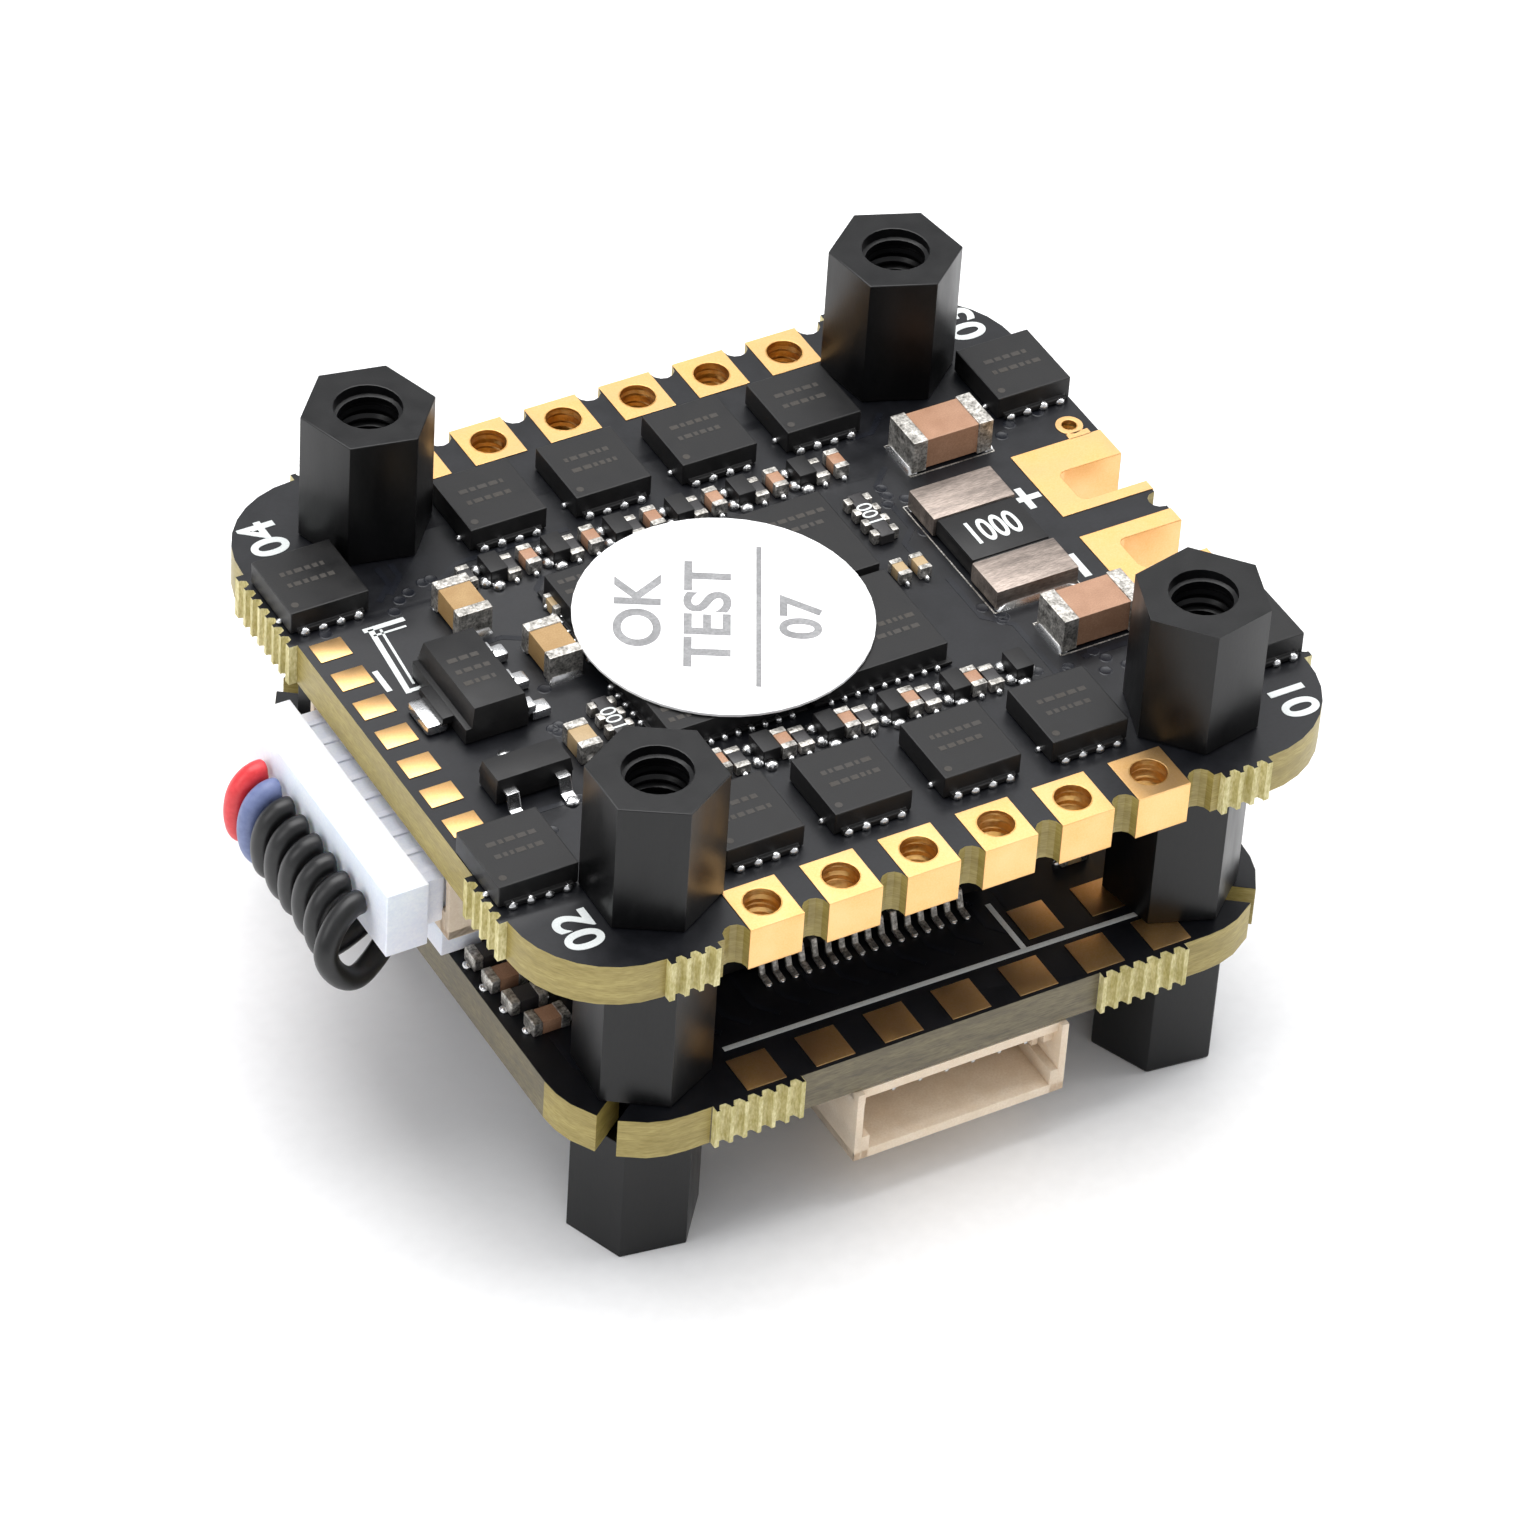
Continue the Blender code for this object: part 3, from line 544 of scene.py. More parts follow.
def motor_pad(x, side):
    """One castellated pad: its plated face on each side of the board and its plated edge."""
    left, right, outer, inner = x - PAD_HALF, x + PAD_HALF, side * (EDGE_Y + PAD), side * PAD_INNER
    flat = [(left, outer), (right, outer), (right, inner), (left, inner)]
    if side > 0:
        flat.reverse()
    hole = ring(x, side * PAD_ROW, HOLE)
    pieces = [cut_sheet("pad", [flat, hole], low, high, 0.012, GOLD) for low, high in PAD_LAYERS]
    bm = bmesh.new()
    middle = (x, side * (EDGE_Y + PAD / 2), (DECK + UNDERSIDE) / 2)
    block(bm, (2 * PAD_HALF, PAD, DECK - UNDERSIDE), middle, 0.01)
    pieces.append(placed("edge", bm, GOLD))
    return pieces


def barrel(x, y, radius, low, high, wall=0.03):
    """The plated wall of a hole, ribbed where the drill tore the glass layers."""
    bm = bmesh.new()
    rows = 15
    rings = []
    for row in range(rows + 1):
        z = low + (high - low) * row / rows
        wave = 0.025 * math.sin(row * 2.4 + x) if 0 < row < rows else 0.0
        rings.append([bm.verts.new(at(px, py, z)) for px, py in ring(x, y, radius - wall + wave)])
    outside = [[bm.verts.new(at(px, py, z)) for px, py in ring(x, y, radius)] for z in (low, high)]
    for a, b in zip([*rings, *outside[::-1]], [*rings[1:], *outside[::-1], rings[0]]):
        for i in range(len(a)):
            j = (i + 1) % len(a)
            bm.faces.new((a[i], a[j], b[j], b[i]))
    return object_of("barrel", mesh_from("barrel", bm), BARREL)


pads = []
for side in (-1, 1):
    for i in range(6):
        x = (i - 2.5) * PAD_PITCH
        pads += motor_pad(x, side)
        pads.append(barrel(x, side * PAD_ROW, HOLE, UNDERSIDE - PAD, DECK + PAD))
settle(joined("motor_pads", pads), "tin_plate", crease=PAD_CREASE)


def slotted_pad(inner_x, y_low, y_high, slot_y):
    """A pad open to the right round the slot for the battery wire, and the slot's own wall."""
    edge = EDGE_X + PAD
    half, deep, soft = 0.825, EDGE_X - 2.5, 0.3
    wall = [(edge, slot_y - half)]
    for side in (-1, 1):
        for i in range(4):
            angle = math.radians(30 * (i if side > 0 else 3 - i))
            reach = half - soft + soft * math.sin(angle)
            wall.append((deep + soft - soft * math.cos(angle), slot_y + side * reach))
    wall.append((edge, slot_y + half))
    return [(inner_x, y_low), (edge, y_low), *wall, (edge, y_high), (inner_x, y_high)]


PLUS = slotted_pad(11.3, 0.3, 3.8, 1.575)
MINUS = slotted_pad(11.25, -3.85, -0.85, -2.355)
battery = []
for outline in (PLUS, MINUS):
    for low, high in PAD_LAYERS:
        battery.append(cut_sheet("pad", [outline], low, high, 0.012, GOLD))


def plating(path, low, high, thick=0.03):
    """Plating that runs down a wall along a path seen from above."""
    bm = bmesh.new()
    for a, b in zip(path, path[1:]):
        along = Vector((b[0] - a[0], b[1] - a[1]))
        turn = math.atan2(along.y, along.x)
        middle = ((a[0] + b[0]) / 2, (a[1] + b[1]) / 2, (low + high) / 2)
        block(bm, (along.length + thick, thick, high - low), middle, 0.008, turn=turn)
    return placed("plating", bm, GOLD)


for outline in (PLUS, MINUS):
    battery.append(plating(outline[1:-1], UNDERSIDE, DECK))
sense = [ring(14.0, 4.45, 0.48)[::-1], ring(14.0, 4.45, 0.28)]
battery.append(cut_sheet("sense_ring", sense, DECK, DECK + PAD, 0.01, GOLD))
battery.append(barrel(14.0, 4.45, 0.28, UNDERSIDE, DECK + PAD, 0.02))
neck = bmesh.new()
block(neck, (0.85, 0.3, PAD), (14.05, 3.9, DECK + PAD / 2), 0.01)
battery.append(placed("neck", neck, GOLD))
settle(joined("battery_pads", battery), "tin_plate", crease=PAD_CREASE)


def pad_row(x, y, z, count=7, step=2.55, wide=1.45):
    """Bare pads in a row along X."""
    return [((x + step * i, y, z), 0, (wide, 1.5, 1)) for i in range(count)]


ABOVE, BENEATH = LOWER_DECK + PAD / 2, LOWER_UNDERSIDE - PAD / 2
flat_pads = [((-13.93, 4.71 - 1.577 * i, DECK + PAD / 2), 0, (1.15, 0.93, 1)) for i in range(7)]
flat_pads += pad_row(-6.8, -11.9, ABOVE)
flat_pads += pad_row(5.0, -9.65, ABOVE, 1, wide=1.35) + pad_row(7.48, -9.6, ABOVE, 1, wide=1.35)
flat_pads += pad_row(-6.8, 11.9, ABOVE)
flat_pads += pad_row(-6.0, 9.2, BENEATH, 3, 2.4, 1.3) + pad_row(-6.8, 11.9, BENEATH)
unit_pad = shape_of(lambda bm: block(bm, (1, 1, PAD), soft=0.012))
settle(planted("flat_pads", unit_pad, flat_pads, GOLD), "tin_plate", crease=PAD_CREASE)


# ---------------------------------------------------------------- standoffs and their threads

TIERS = {"foot": 0.1, "middle": 0.06, "top": 0.1}
for tier, soft in TIERS.items():
    for corner in CORNERS:
        body = f"top_{corner}" if tier == "top" else "stack"
        dress(f"{tier}_standoff_{corner}", soft, "black_nylon", NYLON, body=body)


def thread(name, x, y, low, high):
    """A cut M2 thread, as the ridge that stands in the bore."""
    pitch = 0.4
    holder = object_of(name + "_holder", bpy.data.meshes.new(name))
    turns = (high - low) / pitch
    sizes = {"Radius": 1.13 * MM, "Pitch": pitch * MM, "Ridge": 0.13 * MM}
    mesh = grown(holder, THREAD, Turns=turns, Finish=NYLON, **sizes)
    bpy.data.objects.remove(holder)
    mesh.transform(Matrix.Translation(at(x, y, low)))
    return object_of(name, mesh)


for corner, (x, y) in CORNERS.items():
    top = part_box(f"top_standoff_{corner}")[1].z / MM
    settle(thread(f"thread_top_{corner}", x, y, top - 4.0, top - 0.3), "black_nylon", body=f"top_{corner}")
    settle(thread(f"thread_foot_{corner}", x, y, 0.2, 0.85), "black_nylon")


# ---------------------------------------------------------------- parts on the upper board


def ends_pick(node, along, reach):
    """Finish 1 for faces further than `reach` from the middle along an axis, 0 between."""
    x, y, _, _ = middle_of(node)
    middle = x if along == 0 else y
    return lambda point, normal: 1 if abs(point[along] - middle) > reach else 0


TRANSISTORS = [f"power_transistor_{i:02d}" for i in range(1, 13)]
for node in TRANSISTORS:
    dress(node, 0.05, "epoxy", EPOXY)
CHIPS = [f"driver_chip_{i}" for i in range(1, 5)]
for node in CHIPS:
    dress(node, 0.04, "epoxy", EPOXY)


def shunt():
    """Two thick terminals of rolled metal, welded to a resistive strip under a black coat."""
    x, y, base, top = middle_of("current_shunt")
    bm = bmesh.new()
    block(bm, (2.95, 3.2, top - base - 0.1), (x, y, (top + base) / 2 - 0.02), 0.12, 0)
    block(bm, (2.95, 2.3, 0.1), (x, y, top - 0.06), 0.04, 0)
    for side in (-1, 1):
        block(bm, (3.15, 1.7, top - base), (x, y + side * 2.1, (top + base) / 2), 0.06, 1)
    return placed("shunt_plates", bm, EPOXY, SHUNT_METAL)


settle(shunt(), "tin_plate", "current_shunt")
for node in ("bulk_capacitor_plus", "bulk_capacitor_minus"):
    dress(node, 0.09, "brown_ceramic", BROWN, TINNED, pick=ends_pick(node, 0, 0.99))
for node in ("filter_capacitor_back", "filter_capacitor_front"):
    dress(node, 0.07, "tan_ceramic", TAN, TINNED, pick=ends_pick(node, 1, 0.57))


REGULATOR_AT = (-10.9, 0.5)


def regulator():
    """A moulded package that narrows up and down from its parting line, its heat tab and leads."""
    _, _, base, top = middle_of("voltage_regulator")
    x, y, parting = *REGULATOR_AT, base + 0.62
    bm = bmesh.new()
    block(bm, (2.1, 3.9, top - parting), (x, y, (top + parting) / 2), 0.03, 0, taper=0.14)
    block(bm, (2.3, 3.8, parting - base), (x - 0.1, y, (base + parting) / 2), 0.05, 0)
    # The heat tab's inner part takes the dark epoxy finish as painted shade; its outer part is bright solder
    block(bm, (0.9, 1.7, 0.3), (x - 1.2, y - 0.2, base + 0.45), 0.05, 0)
    block(bm, (0.8, 1.5, 0.42), (x - 1.8, y - 0.3, base + 0.19), 0.18, 1)
    for lead in (-1.5, 0.0, 1.5):
        block(bm, (0.4, 0.5, 0.34), (x + 1.2, y + lead, base + 0.45), 0.05, 1)
        block(bm, (0.7, 0.58, 0.36), (x + 1.6, y + lead, base + 0.16), 0.09, 1)
    return placed("regulator_package", bm, EPOXY, SOLDER)


settle(regulator(), "epoxy", "voltage_regulator")
# The diode's package in two halves about its parting line
DIODE_X, DIODE_Y = -11.25, -3.85
_, _, base, top = middle_of("clamp_diode")
diode = bmesh.new()
block(diode, (2.8, 1.25, 0.5), (DIODE_X, DIODE_Y, top - 0.25), 0.03, taper=0.08)
block(diode, (2.74, 1.19, top - base - 0.52), (DIODE_X, DIODE_Y, (top + base) / 2 - 0.22), 0.03)
settle(placed("diode_package", diode, EPOXY), "epoxy", "clamp_diode")

# Solder beads: four on the front of each transistor, a row on each side of each chip
beads = []
fets = [middle_of(node)[:2] for node in TRANSISTORS]
for number, (x, y) in enumerate(fets):
    for i in range(4):
        size = (1.05, 0.95, 0.8 + 0.06 * ((number + i) % 3))
        beads.append(((x + (i - 1.5) * 0.65, y - 1.56, DECK + 0.02), 0, size))
        beads.append(((x + (i - 1.5) * 0.65, y + 1.57, DECK + 0.02), 180, (0.7, 0.7, 0.6)))
    beads.append(((x - 1.45, y - 0.75, DECK + 0.02), 90, (0.6, 0.7, 0.6)))
for x, y in (middle_of(node)[:2] for node in CHIPS):
    size = (0.62, 0.85, 0.75)
    for side in (-1, 1):
        beads += [((x + (i - 4) * 0.5, y + side * 2.24, DECK + 0.02), 0, size) for i in range(9)]
        beads += [((x + side * 2.6, y + (i - 3) * 0.5, DECK + 0.02), 90, size) for i in range(7)]
BEAD = shape_of(lambda bm: bead(bm, (0, 0, 0.08), (0.38, 0.42, 0.4), seed=3))
settle(planted("solder_beads", BEAD, beads, SOLDER), "tin_plate", crease=BEAD_CREASE)

# Fillets under the big parts
fillets = []
for node, along, reach in (
    ("bulk_capacitor_plus", 0, 1.5),
    ("bulk_capacitor_minus", 0, 1.5),
    ("filter_capacitor_back", 1, 0.92),
    ("filter_capacitor_front", 1, 0.92),
    ("current_shunt", 1, 2.9),
):
    x, y, _, _ = middle_of(node)
    wide = {"current_shunt": 3.3}.get(node, 1.75 if along == 0 else 1.35)
    for side in (-1, 1):
        spot = (x + side * reach, y, DECK) if along == 0 else (x, y + side * reach, DECK)
        fillets.append((spot, 90 if along == 0 else 0, (wide, 1.0, 1.0)))
FILLET = shape_of(lambda bm: block(bm, (1.0, 0.42, 0.26), (0, 0, 0.1), 0.08, taper=0.12))
settle(planted("solder_fillets", FILLET, fillets, SOLDER), "tin_plate")
# Thin pale rims round the shunt and the bulk capacitors: painted highlight for the glint along the mask's
# edge
rims = []
for node, gap in (("current_shunt", 0.1), ("bulk_capacitor_plus", 0.08), ("bulk_capacitor_minus", 0.08)):
    low, high = box_of(node)
    xs, ys = (low.x - gap, high.x + gap), (low.y - gap, high.y + gap)
    rims.append([(xs[0], ys[0]), (xs[1], ys[0]), (xs[1], ys[1]), (xs[0], ys[1]), (xs[0], ys[0])])
settle(strips("flux_rims", rims, DECK + 0.01, 0.05, 0.03, TINNED), "tin_plate")

bm = bmesh.new()
for number, (x, y) in enumerate(((-12.18, -5.3), (-10.32, -5.3), (-11.25, -2.4))):
    bead(bm, (x, y, DECK + 0.052), (0.5, 0.5, 0.26), seed=number)
settle(placed("lead_solder", bm, SOLDER), "tin_plate", crease=BEAD_CREASE)


# ---------------------------------------------------------------- the smallest parts

# Spots for planting: bodies of each kind, their metal ends and their beads
CAPS, RESISTORS, TANS, BLOCKS, ENDS, TINY_BEADS = [], [], [], [], [], []


def chip_part(kind, x, y, long, wide, high, along="y", base=DECK):
    """A body, its two metal ends and its two beads, standing on a board or hung from its underside."""
    under = base in (UNDERSIDE, LOWER_UNDERSIDE)
    up = base + (-0.02 if under else 0.02)

    def laid(along_it, across_it):
        return (along_it, across_it) if along == "x" else (across_it, along_it)

    kind.append(((x, y, up), 0, (*laid(long * 0.52, wide * 0.94), high * 0.95), under))
    for side in (-1, 1):
        dx, dy = laid(side * long * 0.375, 0)
        ENDS.append(((x + dx, y + dy, up), 0, (*laid(long * 0.25, wide), high), under))
        foot = (x + dx * 1.5, y + dy * 1.5, base)
        TINY_BEADS.append((foot, 0, (*laid(0.8, 1.2 * wide), 0.7), under))


def three_leg(x, y):
    """A tiny three-lead transistor with its beads."""
    BLOCKS.append(((x, y, DECK + 0.03), 0, (0.66, 1.0, 0.56), False))
    for spot in ((x - 0.42, y + 0.34), (x - 0.42, y - 0.34), (x + 0.38, y - 0.1), (x - 0.1, y - 0.66)):
        TINY_BEADS.append(((*spot, DECK), 0, (1.25, 1.1, 0.95), False))


for i in range(6):
    x = -7.72 + 2.37 * i
    chip_part(CAPS, x, -5.95, 1.0, 0.52, 0.5)
    chip_part(RESISTORS, x + 0.64, -6.0, 1.0, 0.52, 0.36)
    three_leg(x + 1.72, -5.9)
    x = -7.39 + 2.34 * i
    three_leg(x, 5.87)
    chip_part(RESISTORS, x + 0.56, 5.77, 1.0, 0.48, 0.36)
    chip_part(CAPS, x + 1.3, 5.8, 1.0, 0.5, 0.5)
ARRAYS = ((5.26, 2.8), (-7.4, -2.7))
for x, y in ARRAYS:
    RESISTORS.append(((x, y, DECK + 0.02), 0, (0.55, 2.35, 0.4), False))
    for i in range(4):
        for side in (-1, 1):
            spot = (x + side * 0.33, y + (i - 1.5) * 0.6, DECK + 0.02)
            ENDS.append((spot, 0, (0.3, 0.34, 0.4), False))
for x, y in ((4.77, -0.04), (5.52, -0.06), (-6.4, 3.35)):
    chip_part(TANS, x, y, 0.85, 0.45, 0.45)
chip_part(TANS, -8.85, -3.2, 1.35, 0.8, 0.75)
chip_part(RESISTORS, -8.35, 5.9, 0.9, 0.46, 0.36)
# Between the boards, on the flight controller
for i, (x, y) in enumerate([(-12.2, -3.5), (-12.2, -4.7), (-12.1, -5.9), (-11.9, -7.1)]):
    chip_part(CAPS if i % 2 else RESISTORS, x, y, 1.35, 0.75, 0.55, "x", LOWER_DECK)
for i in range(9):
    chip_part(CAPS if i % 3 else TANS, 7.6, -7.6 + 1.5 * i, 1.0, 0.5, 0.5, "x", LOWER_DECK)
    chip_part(RESISTORS, 10.4, -6.8 + 1.5 * i, 1.0, 0.5, 0.36, "x", LOWER_DECK)
for i in range(6):
    chip_part(CAPS if i % 2 else RESISTORS, -6 + 2.3 * i, 5.8, 1.0, 0.5, 0.5, "y", LOWER_DECK)
    chip_part(CAPS, -6.5 + 2.3 * i, 8.6, 1.0, 0.5, 0.5, "y", LOWER_DECK)
# Under the flight controller and under the speed controller
for i in range(7):
    chip_part(CAPS if i % 2 else RESISTORS, -8.2 + 1.3 * i, 1.1, 1.0, 0.5, 0.45, "y", LOWER_UNDERSIDE)
    chip_part(CAPS, -9.6, -7.6 + 1.2 * i, 1.0, 0.5, 0.45, "x", LOWER_UNDERSIDE)
for i in range(5):
    chip_part(TANS, -2.6 + 1.4 * i, -7.0, 1.35, 0.75, 0.7, "y", LOWER_UNDERSIDE)
    chip_part(RESISTORS, 0.6 + 0.9 * i, 9.6, 1.0, 0.5, 0.36, "y", LOWER_UNDERSIDE)
for i in range(6):
    for side in (-1, 1):
        chip_part(CAPS, -6.5 + 2.6 * i, side * 7.2, 1.6, 0.85, 0.8, "x", UNDERSIDE)
        chip_part(RESISTORS, -6.5 + 2.6 * i, side * 4.6, 1.0, 0.5, 0.36, "x", UNDERSIDE)

UNIT = shape_of(lambda bm: block(bm, (1, 1, 1), (0, 0, 0.5), 0.06))
ROUNDED = shape_of(lambda bm: block(bm, (1, 1, 1), (0, 0, 0.5), 0.1))
for name, shape, spots, finish, slot in (
    ("small_capacitors", UNIT, CAPS, BROWN, "brown_ceramic"),
    ("small_resistors", UNIT, RESISTORS, ALUMINA, "epoxy"),
    ("small_tan_capacitors", UNIT, TANS, BEIGE, "tan_ceramic"),
    ("small_transistors", UNIT, BLOCKS, EPOXY, "epoxy"),
    ("metal_ends", ROUNDED, ENDS, TINNED, "tin_plate"),
    ("tiny_solder_beads", BEAD, TINY_BEADS, SOLDER, "tin_plate"),
):
    settle(planted(name, shape, spots, finish), slot, crease=BEAD_CREASE if shape is BEAD else 20)


# ---------------------------------------------------------------- markings

dress("inspection_sticker", 0.012, "label", VINYL)
sx, sy, _, label_top = middle_of("inspection_sticker")
ink = label_top + 0.004
LEAN = math.radians(61)  # the label was put on askew
below = Vector((math.sin(LEAN), -math.cos(LEAN)))


def on_label(down):
    """A place on the label, down from its middle across the lines of print."""
    return (*Vector((sx, sy)) + below * down, ink)


prints = [
    lettering("print", words, tall, on_label(down), LEAN, PRINT, 0.008, 0.04, 1.15)
    for words, tall, down in (("OK", 2.15, -2.75), ("TEST", 2.15, -0.45), ("07", 1.9, 2.6))
]
rule = bmesh.new()
block(rule, (7.1, 0.17, 0.008), on_label(1.15), 0.002, turn=LEAN)
prints.append(placed("rule", rule, PRINT))
settle(joined("sticker_print", prints), "label")

INK = DECK + 0.008
legends = []
for words, x, y in (("04", -13.3, 10.75), ("03", 13.55, 10.9), ("02", -12.93, -10.74), ("01", 13.44, -11.0)):
    legends.append(lettering("mark", words, 1.8, (x, y, INK), math.pi / 2, LEGEND, bold=0.045))


def bars(*each):
    """Painted bars: centre x and y, width, length, turn in degrees and height above the feet."""
    bm = bmesh.new()
    for x, y, wide, long, turn, z in each:
        block(bm, (wide, long, 0.016), (x, y, z), 0.004, turn=math.radians(turn))
    return placed("bars", bm, LEGEND)


LOWER_INK = LOWER_DECK + 0.008
legends.append(
    bars(
        (10.65, 1.7, 0.26, 1.15, 0, INK),
        (10.65, 1.7, 1.15, 0.26, 0, INK + 0.003),
        (10.5, -2.1, 0.28, 1.25, 0, INK),
        (-12.45, 3.4, 0.2, 3.4, -5, INK),
        (-11.8, 5.1, 1.5, 0.2, 0, INK),
        (-12.15, 1.8, 0.7, 0.16, 0, INK),
        (-13.12, 2.6, 0.2, 1.1, 0, INK),
        (-12.12, 3.5, 0.09, 2.9, -5, INK),
        (-11.75, 4.75, 1.2, 0.09, 0, INK),
        (0.8, -10.74, 16.2, 0.2, -0.9, LOWER_INK),
        (3.96, -9.5, 0.2, 2.4, 0, LOWER_INK),
    )
)
settle(joined("white_legend", legends), "label")

marks = bmesh.new()
seeded = random.Random(11)


def etched(x, y, wide, top, rows, pitch):
    """Rows of short strokes, as laser marking looks from a little way off; they carry no words."""
    for row in range(rows):
        left = x - wide / 2
        while left < x + wide / 2 - 0.1:
            stroke = seeded.uniform(0.12, 0.34)
            line = y + (0.5 * (rows - 1) - row) * pitch
            block(marks, (stroke, 0.2, 0.006), (left + stroke / 2, line, top + 0.002), 0)
            left += stroke + 0.09


for node in TRANSISTORS:
    x, y, _, top = middle_of(node)
    etched(x, y + 0.15, 1.75, top, 2, 0.6)
    disc(marks, 0.13, top - 0.002, top + 0.005, (x - 1.1, y - 1.1), 16)
for node, (dx, dy) in zip(CHIPS, ((-1.2, -1.3), (1.1, -0.6), (-1.2, 1.3), (1.0, 0.9))):
    x, y, _, top = middle_of(node)
    etched(x + dx, y + dy, 2.0, top, 2, 0.55)
_, _, _, top = middle_of("voltage_regulator")
etched(*REGULATOR_AT, 1.3, top, 3, 0.6)
x, y, _, top = middle_of("processor")
etched(x, y + 1.0, 4.6, top, 4, 0.8)
disc(marks, 0.35, top - 0.002, top + 0.004, (x - 4.1, y - 4.1), 24)
for node in ("motion_sensor", "flash_memory"):
    x, y, base, _ = middle_of(node)
    etched(x, y, 1.6, base - 0.006, 2, 0.55)
settle(placed("etched_marks", marks, CHARRED), "epoxy")
value_place = (8.35, 0.0, middle_of("current_shunt")[3] - 0.008)
value = lettering("shunt_value", "1000", 1.6, value_place, 0.0, LEGEND, 0.01, 0.03, 0.62)
settle(value, "label")
arrays = [
    lettering("array_value", "100", 0.8, (*place, DECK + 0.43), math.pi / 2, LEGEND, 0.01) for place in ARRAYS
]
settle(joined("array_values", arrays), "label")


# ---------------------------------------------------------------- sockets, plugs and the lead


def socket(node, mouth, pins, up):
    """A side-entry socket: four walls with stepped ends, a solid back and its pins. It is drawn
    with its mouth towards -X and turned to face the way that its node does."""
    low, high = box_of(node)
    half = (pins + 2) / 2
    deep, tall, wall = 4.25, 2.95, 0.4
    bm = bmesh.new()
    block(bm, (deep - 0.2, 2 * half, wall), (deep / 2 + 0.1, 0, wall / 2), 0.05)
    block(bm, (deep, 2 * half, wall), (deep / 2, 0, tall - wall / 2), 0.05)
    block(bm, (wall, 2 * half, tall), (deep - wall / 2, 0, tall / 2), 0.05)
    for side in (-1, 1):
        y = side * (half - 0.14)
        block(bm, (deep, 0.28, tall), (deep / 2, y, tall / 2), 0.05)
        block(bm, (deep, 0.34, 1.0), (deep / 2, side * (half - 0.4), tall - 0.5), 0.05)
        block(bm, (deep - 0.5, 0.42, 0.9), (deep / 2 + 0.25, side * (half - 0.42), 0.6), 0.06)
        block(bm, (deep - 1.1, 0.26, 0.4), (deep / 2 + 0.55, side * (half - 0.56), 1.5), 0.06)
    for i in range(pins):
        y = i - (pins - 1) / 2
        block(bm, (2.4, 0.3, 0.3), (deep - wall - 1.2, y, tall / 2), 0.07, 1)
        block(bm, (0.5, 0.3, 0.14), (deep - 0.2, y, 0.07), 0.03, 1)
        block(bm, (0.12, 0.14, 0.14), (0.3, y, wall + 0.06), 0.04, 1)
    if not up:
        bm.transform(Matrix.Rotation(math.pi, 4, "X"))
    if mouth == "front":
        bm.transform(Matrix.Rotation(math.pi / 2, 4, "Z"))
        place = ((low.x + high.x) / 2, low.y, high.z)
    else:
        place = (low.x, (low.y + high.y) / 2, low.z if up else high.z)
    bm.transform(Matrix.Translation(at(*place)))
    made = object_of(node + "_housing", mesh_from(node + "_housing", bm), IVORY, NICKEL)
    settle(made, "ivory_nylon", node)


socket("upper_socket", "left", 8, False)
socket("lower_socket", "left", 8, True)
socket("front_socket", "front", 6, False)
for node in ("upper_plug", "lower_plug"):
    dress(node, 0.12, "white_nylon", WHITE, body="lead")


ribs = bmesh.new()
for node in ("upper_plug", "lower_plug"):
    low, high = box_of(node)
    rear, y, z = low.x, (low.y + high.y) / 2, (low.z + high.z) / 2
    for i in range(9):
        block(ribs, (2.5, 0.24, 0.16), (rear + 2.9, y + i - 4, z + 0.875), 0.04)
    for side in (-1, 1):
        block(ribs, (1.0, 0.55, 2.5), (rear + 0.55, y + side * 4.72, z), 0.16)
        block(ribs, (0.9, 0.5, 1.9), (rear + 1.85, y + side * 4.3, z), 0.1)
settle(placed("plug_ribs", ribs, WHITE), "white_nylon", body="lead")


def wire_piece(node, finish, slot):
    """The wire's own tube, rounded by subdivision."""
    bm = bmesh.new()
    bm.from_mesh(nodes[node].data)
    bmesh.ops.remove_doubles(bm, verts=bm.verts, dist=2e-6)
    bmesh.ops.recalc_face_normals(bm, faces=bm.faces)
    bmesh.ops.dissolve_limit(bm, angle_limit=math.radians(0.5), verts=bm.verts, edges=bm.edges)
    mesh = bpy.data.meshes.new(node)
    bm.to_mesh(mesh)
    bm.free()
    piece = object_of(node + "_insulation", mesh, finish)
    rounder = piece.modifiers.new("round", "SUBSURF")
    rounder.levels = rounder.render_levels = 2
    rounder.boundary_smooth = "ALL"
    rounded = evaluated(piece)
    bpy.data.objects.remove(piece)
    piece = object_of(node + "_insulation", rounded)
    settle(piece, slot, node, body="lead")


COLOURED = {"wire_red": (RED, "red_silicone"), "wire_slate": (SLATE, "slate_silicone")}
for node in [name for name in nodes if name.startswith("wire_")]:
    wire_piece(node, *COLOURED.get(node, (BLACK, "black_silicone")))


# ---------------------------------------------------------------- the flight controller

PROCESSOR = 10.0  # sides of the package
mid_x, mid_y, base, top = middle_of("processor")
package = bmesh.new()
block(package, (PROCESSOR, PROCESSOR, top - base - 0.1), (mid_x, mid_y, (top + base) / 2 + 0.05), 0.1)
settle(placed("processor_package", package, EPOXY), "epoxy", "processor")
for node in ("motion_sensor", "flash_memory"):
    dress(node, 0.05, "epoxy", EPOXY)
dress("usb_socket", 0.15, "steel", NICKEL)
ux, uy, uz, _ = middle_of("usb_socket")
springs = bmesh.new()
for offset in (-2.2, 2.2):
    block(springs, (2.6, 0.95, 0.06), (ux + 1.2, uy + offset, uz - 0.01), 0.02)
    block(springs, (0.5, 0.7, 0.12), (ux - 0.1, uy + offset, uz - 0.02), 0.04)
block(springs, (7.0, 0.06, 0.02), (ux, uy, uz), 0.005)
settle(placed("usb_springs", springs, NICKEL), "steel")
dress("boot_button_body", 0.08, "steel", NICKEL)
dress("boot_button_cap", 0.08, "epoxy", NYLON, body="boot_button")


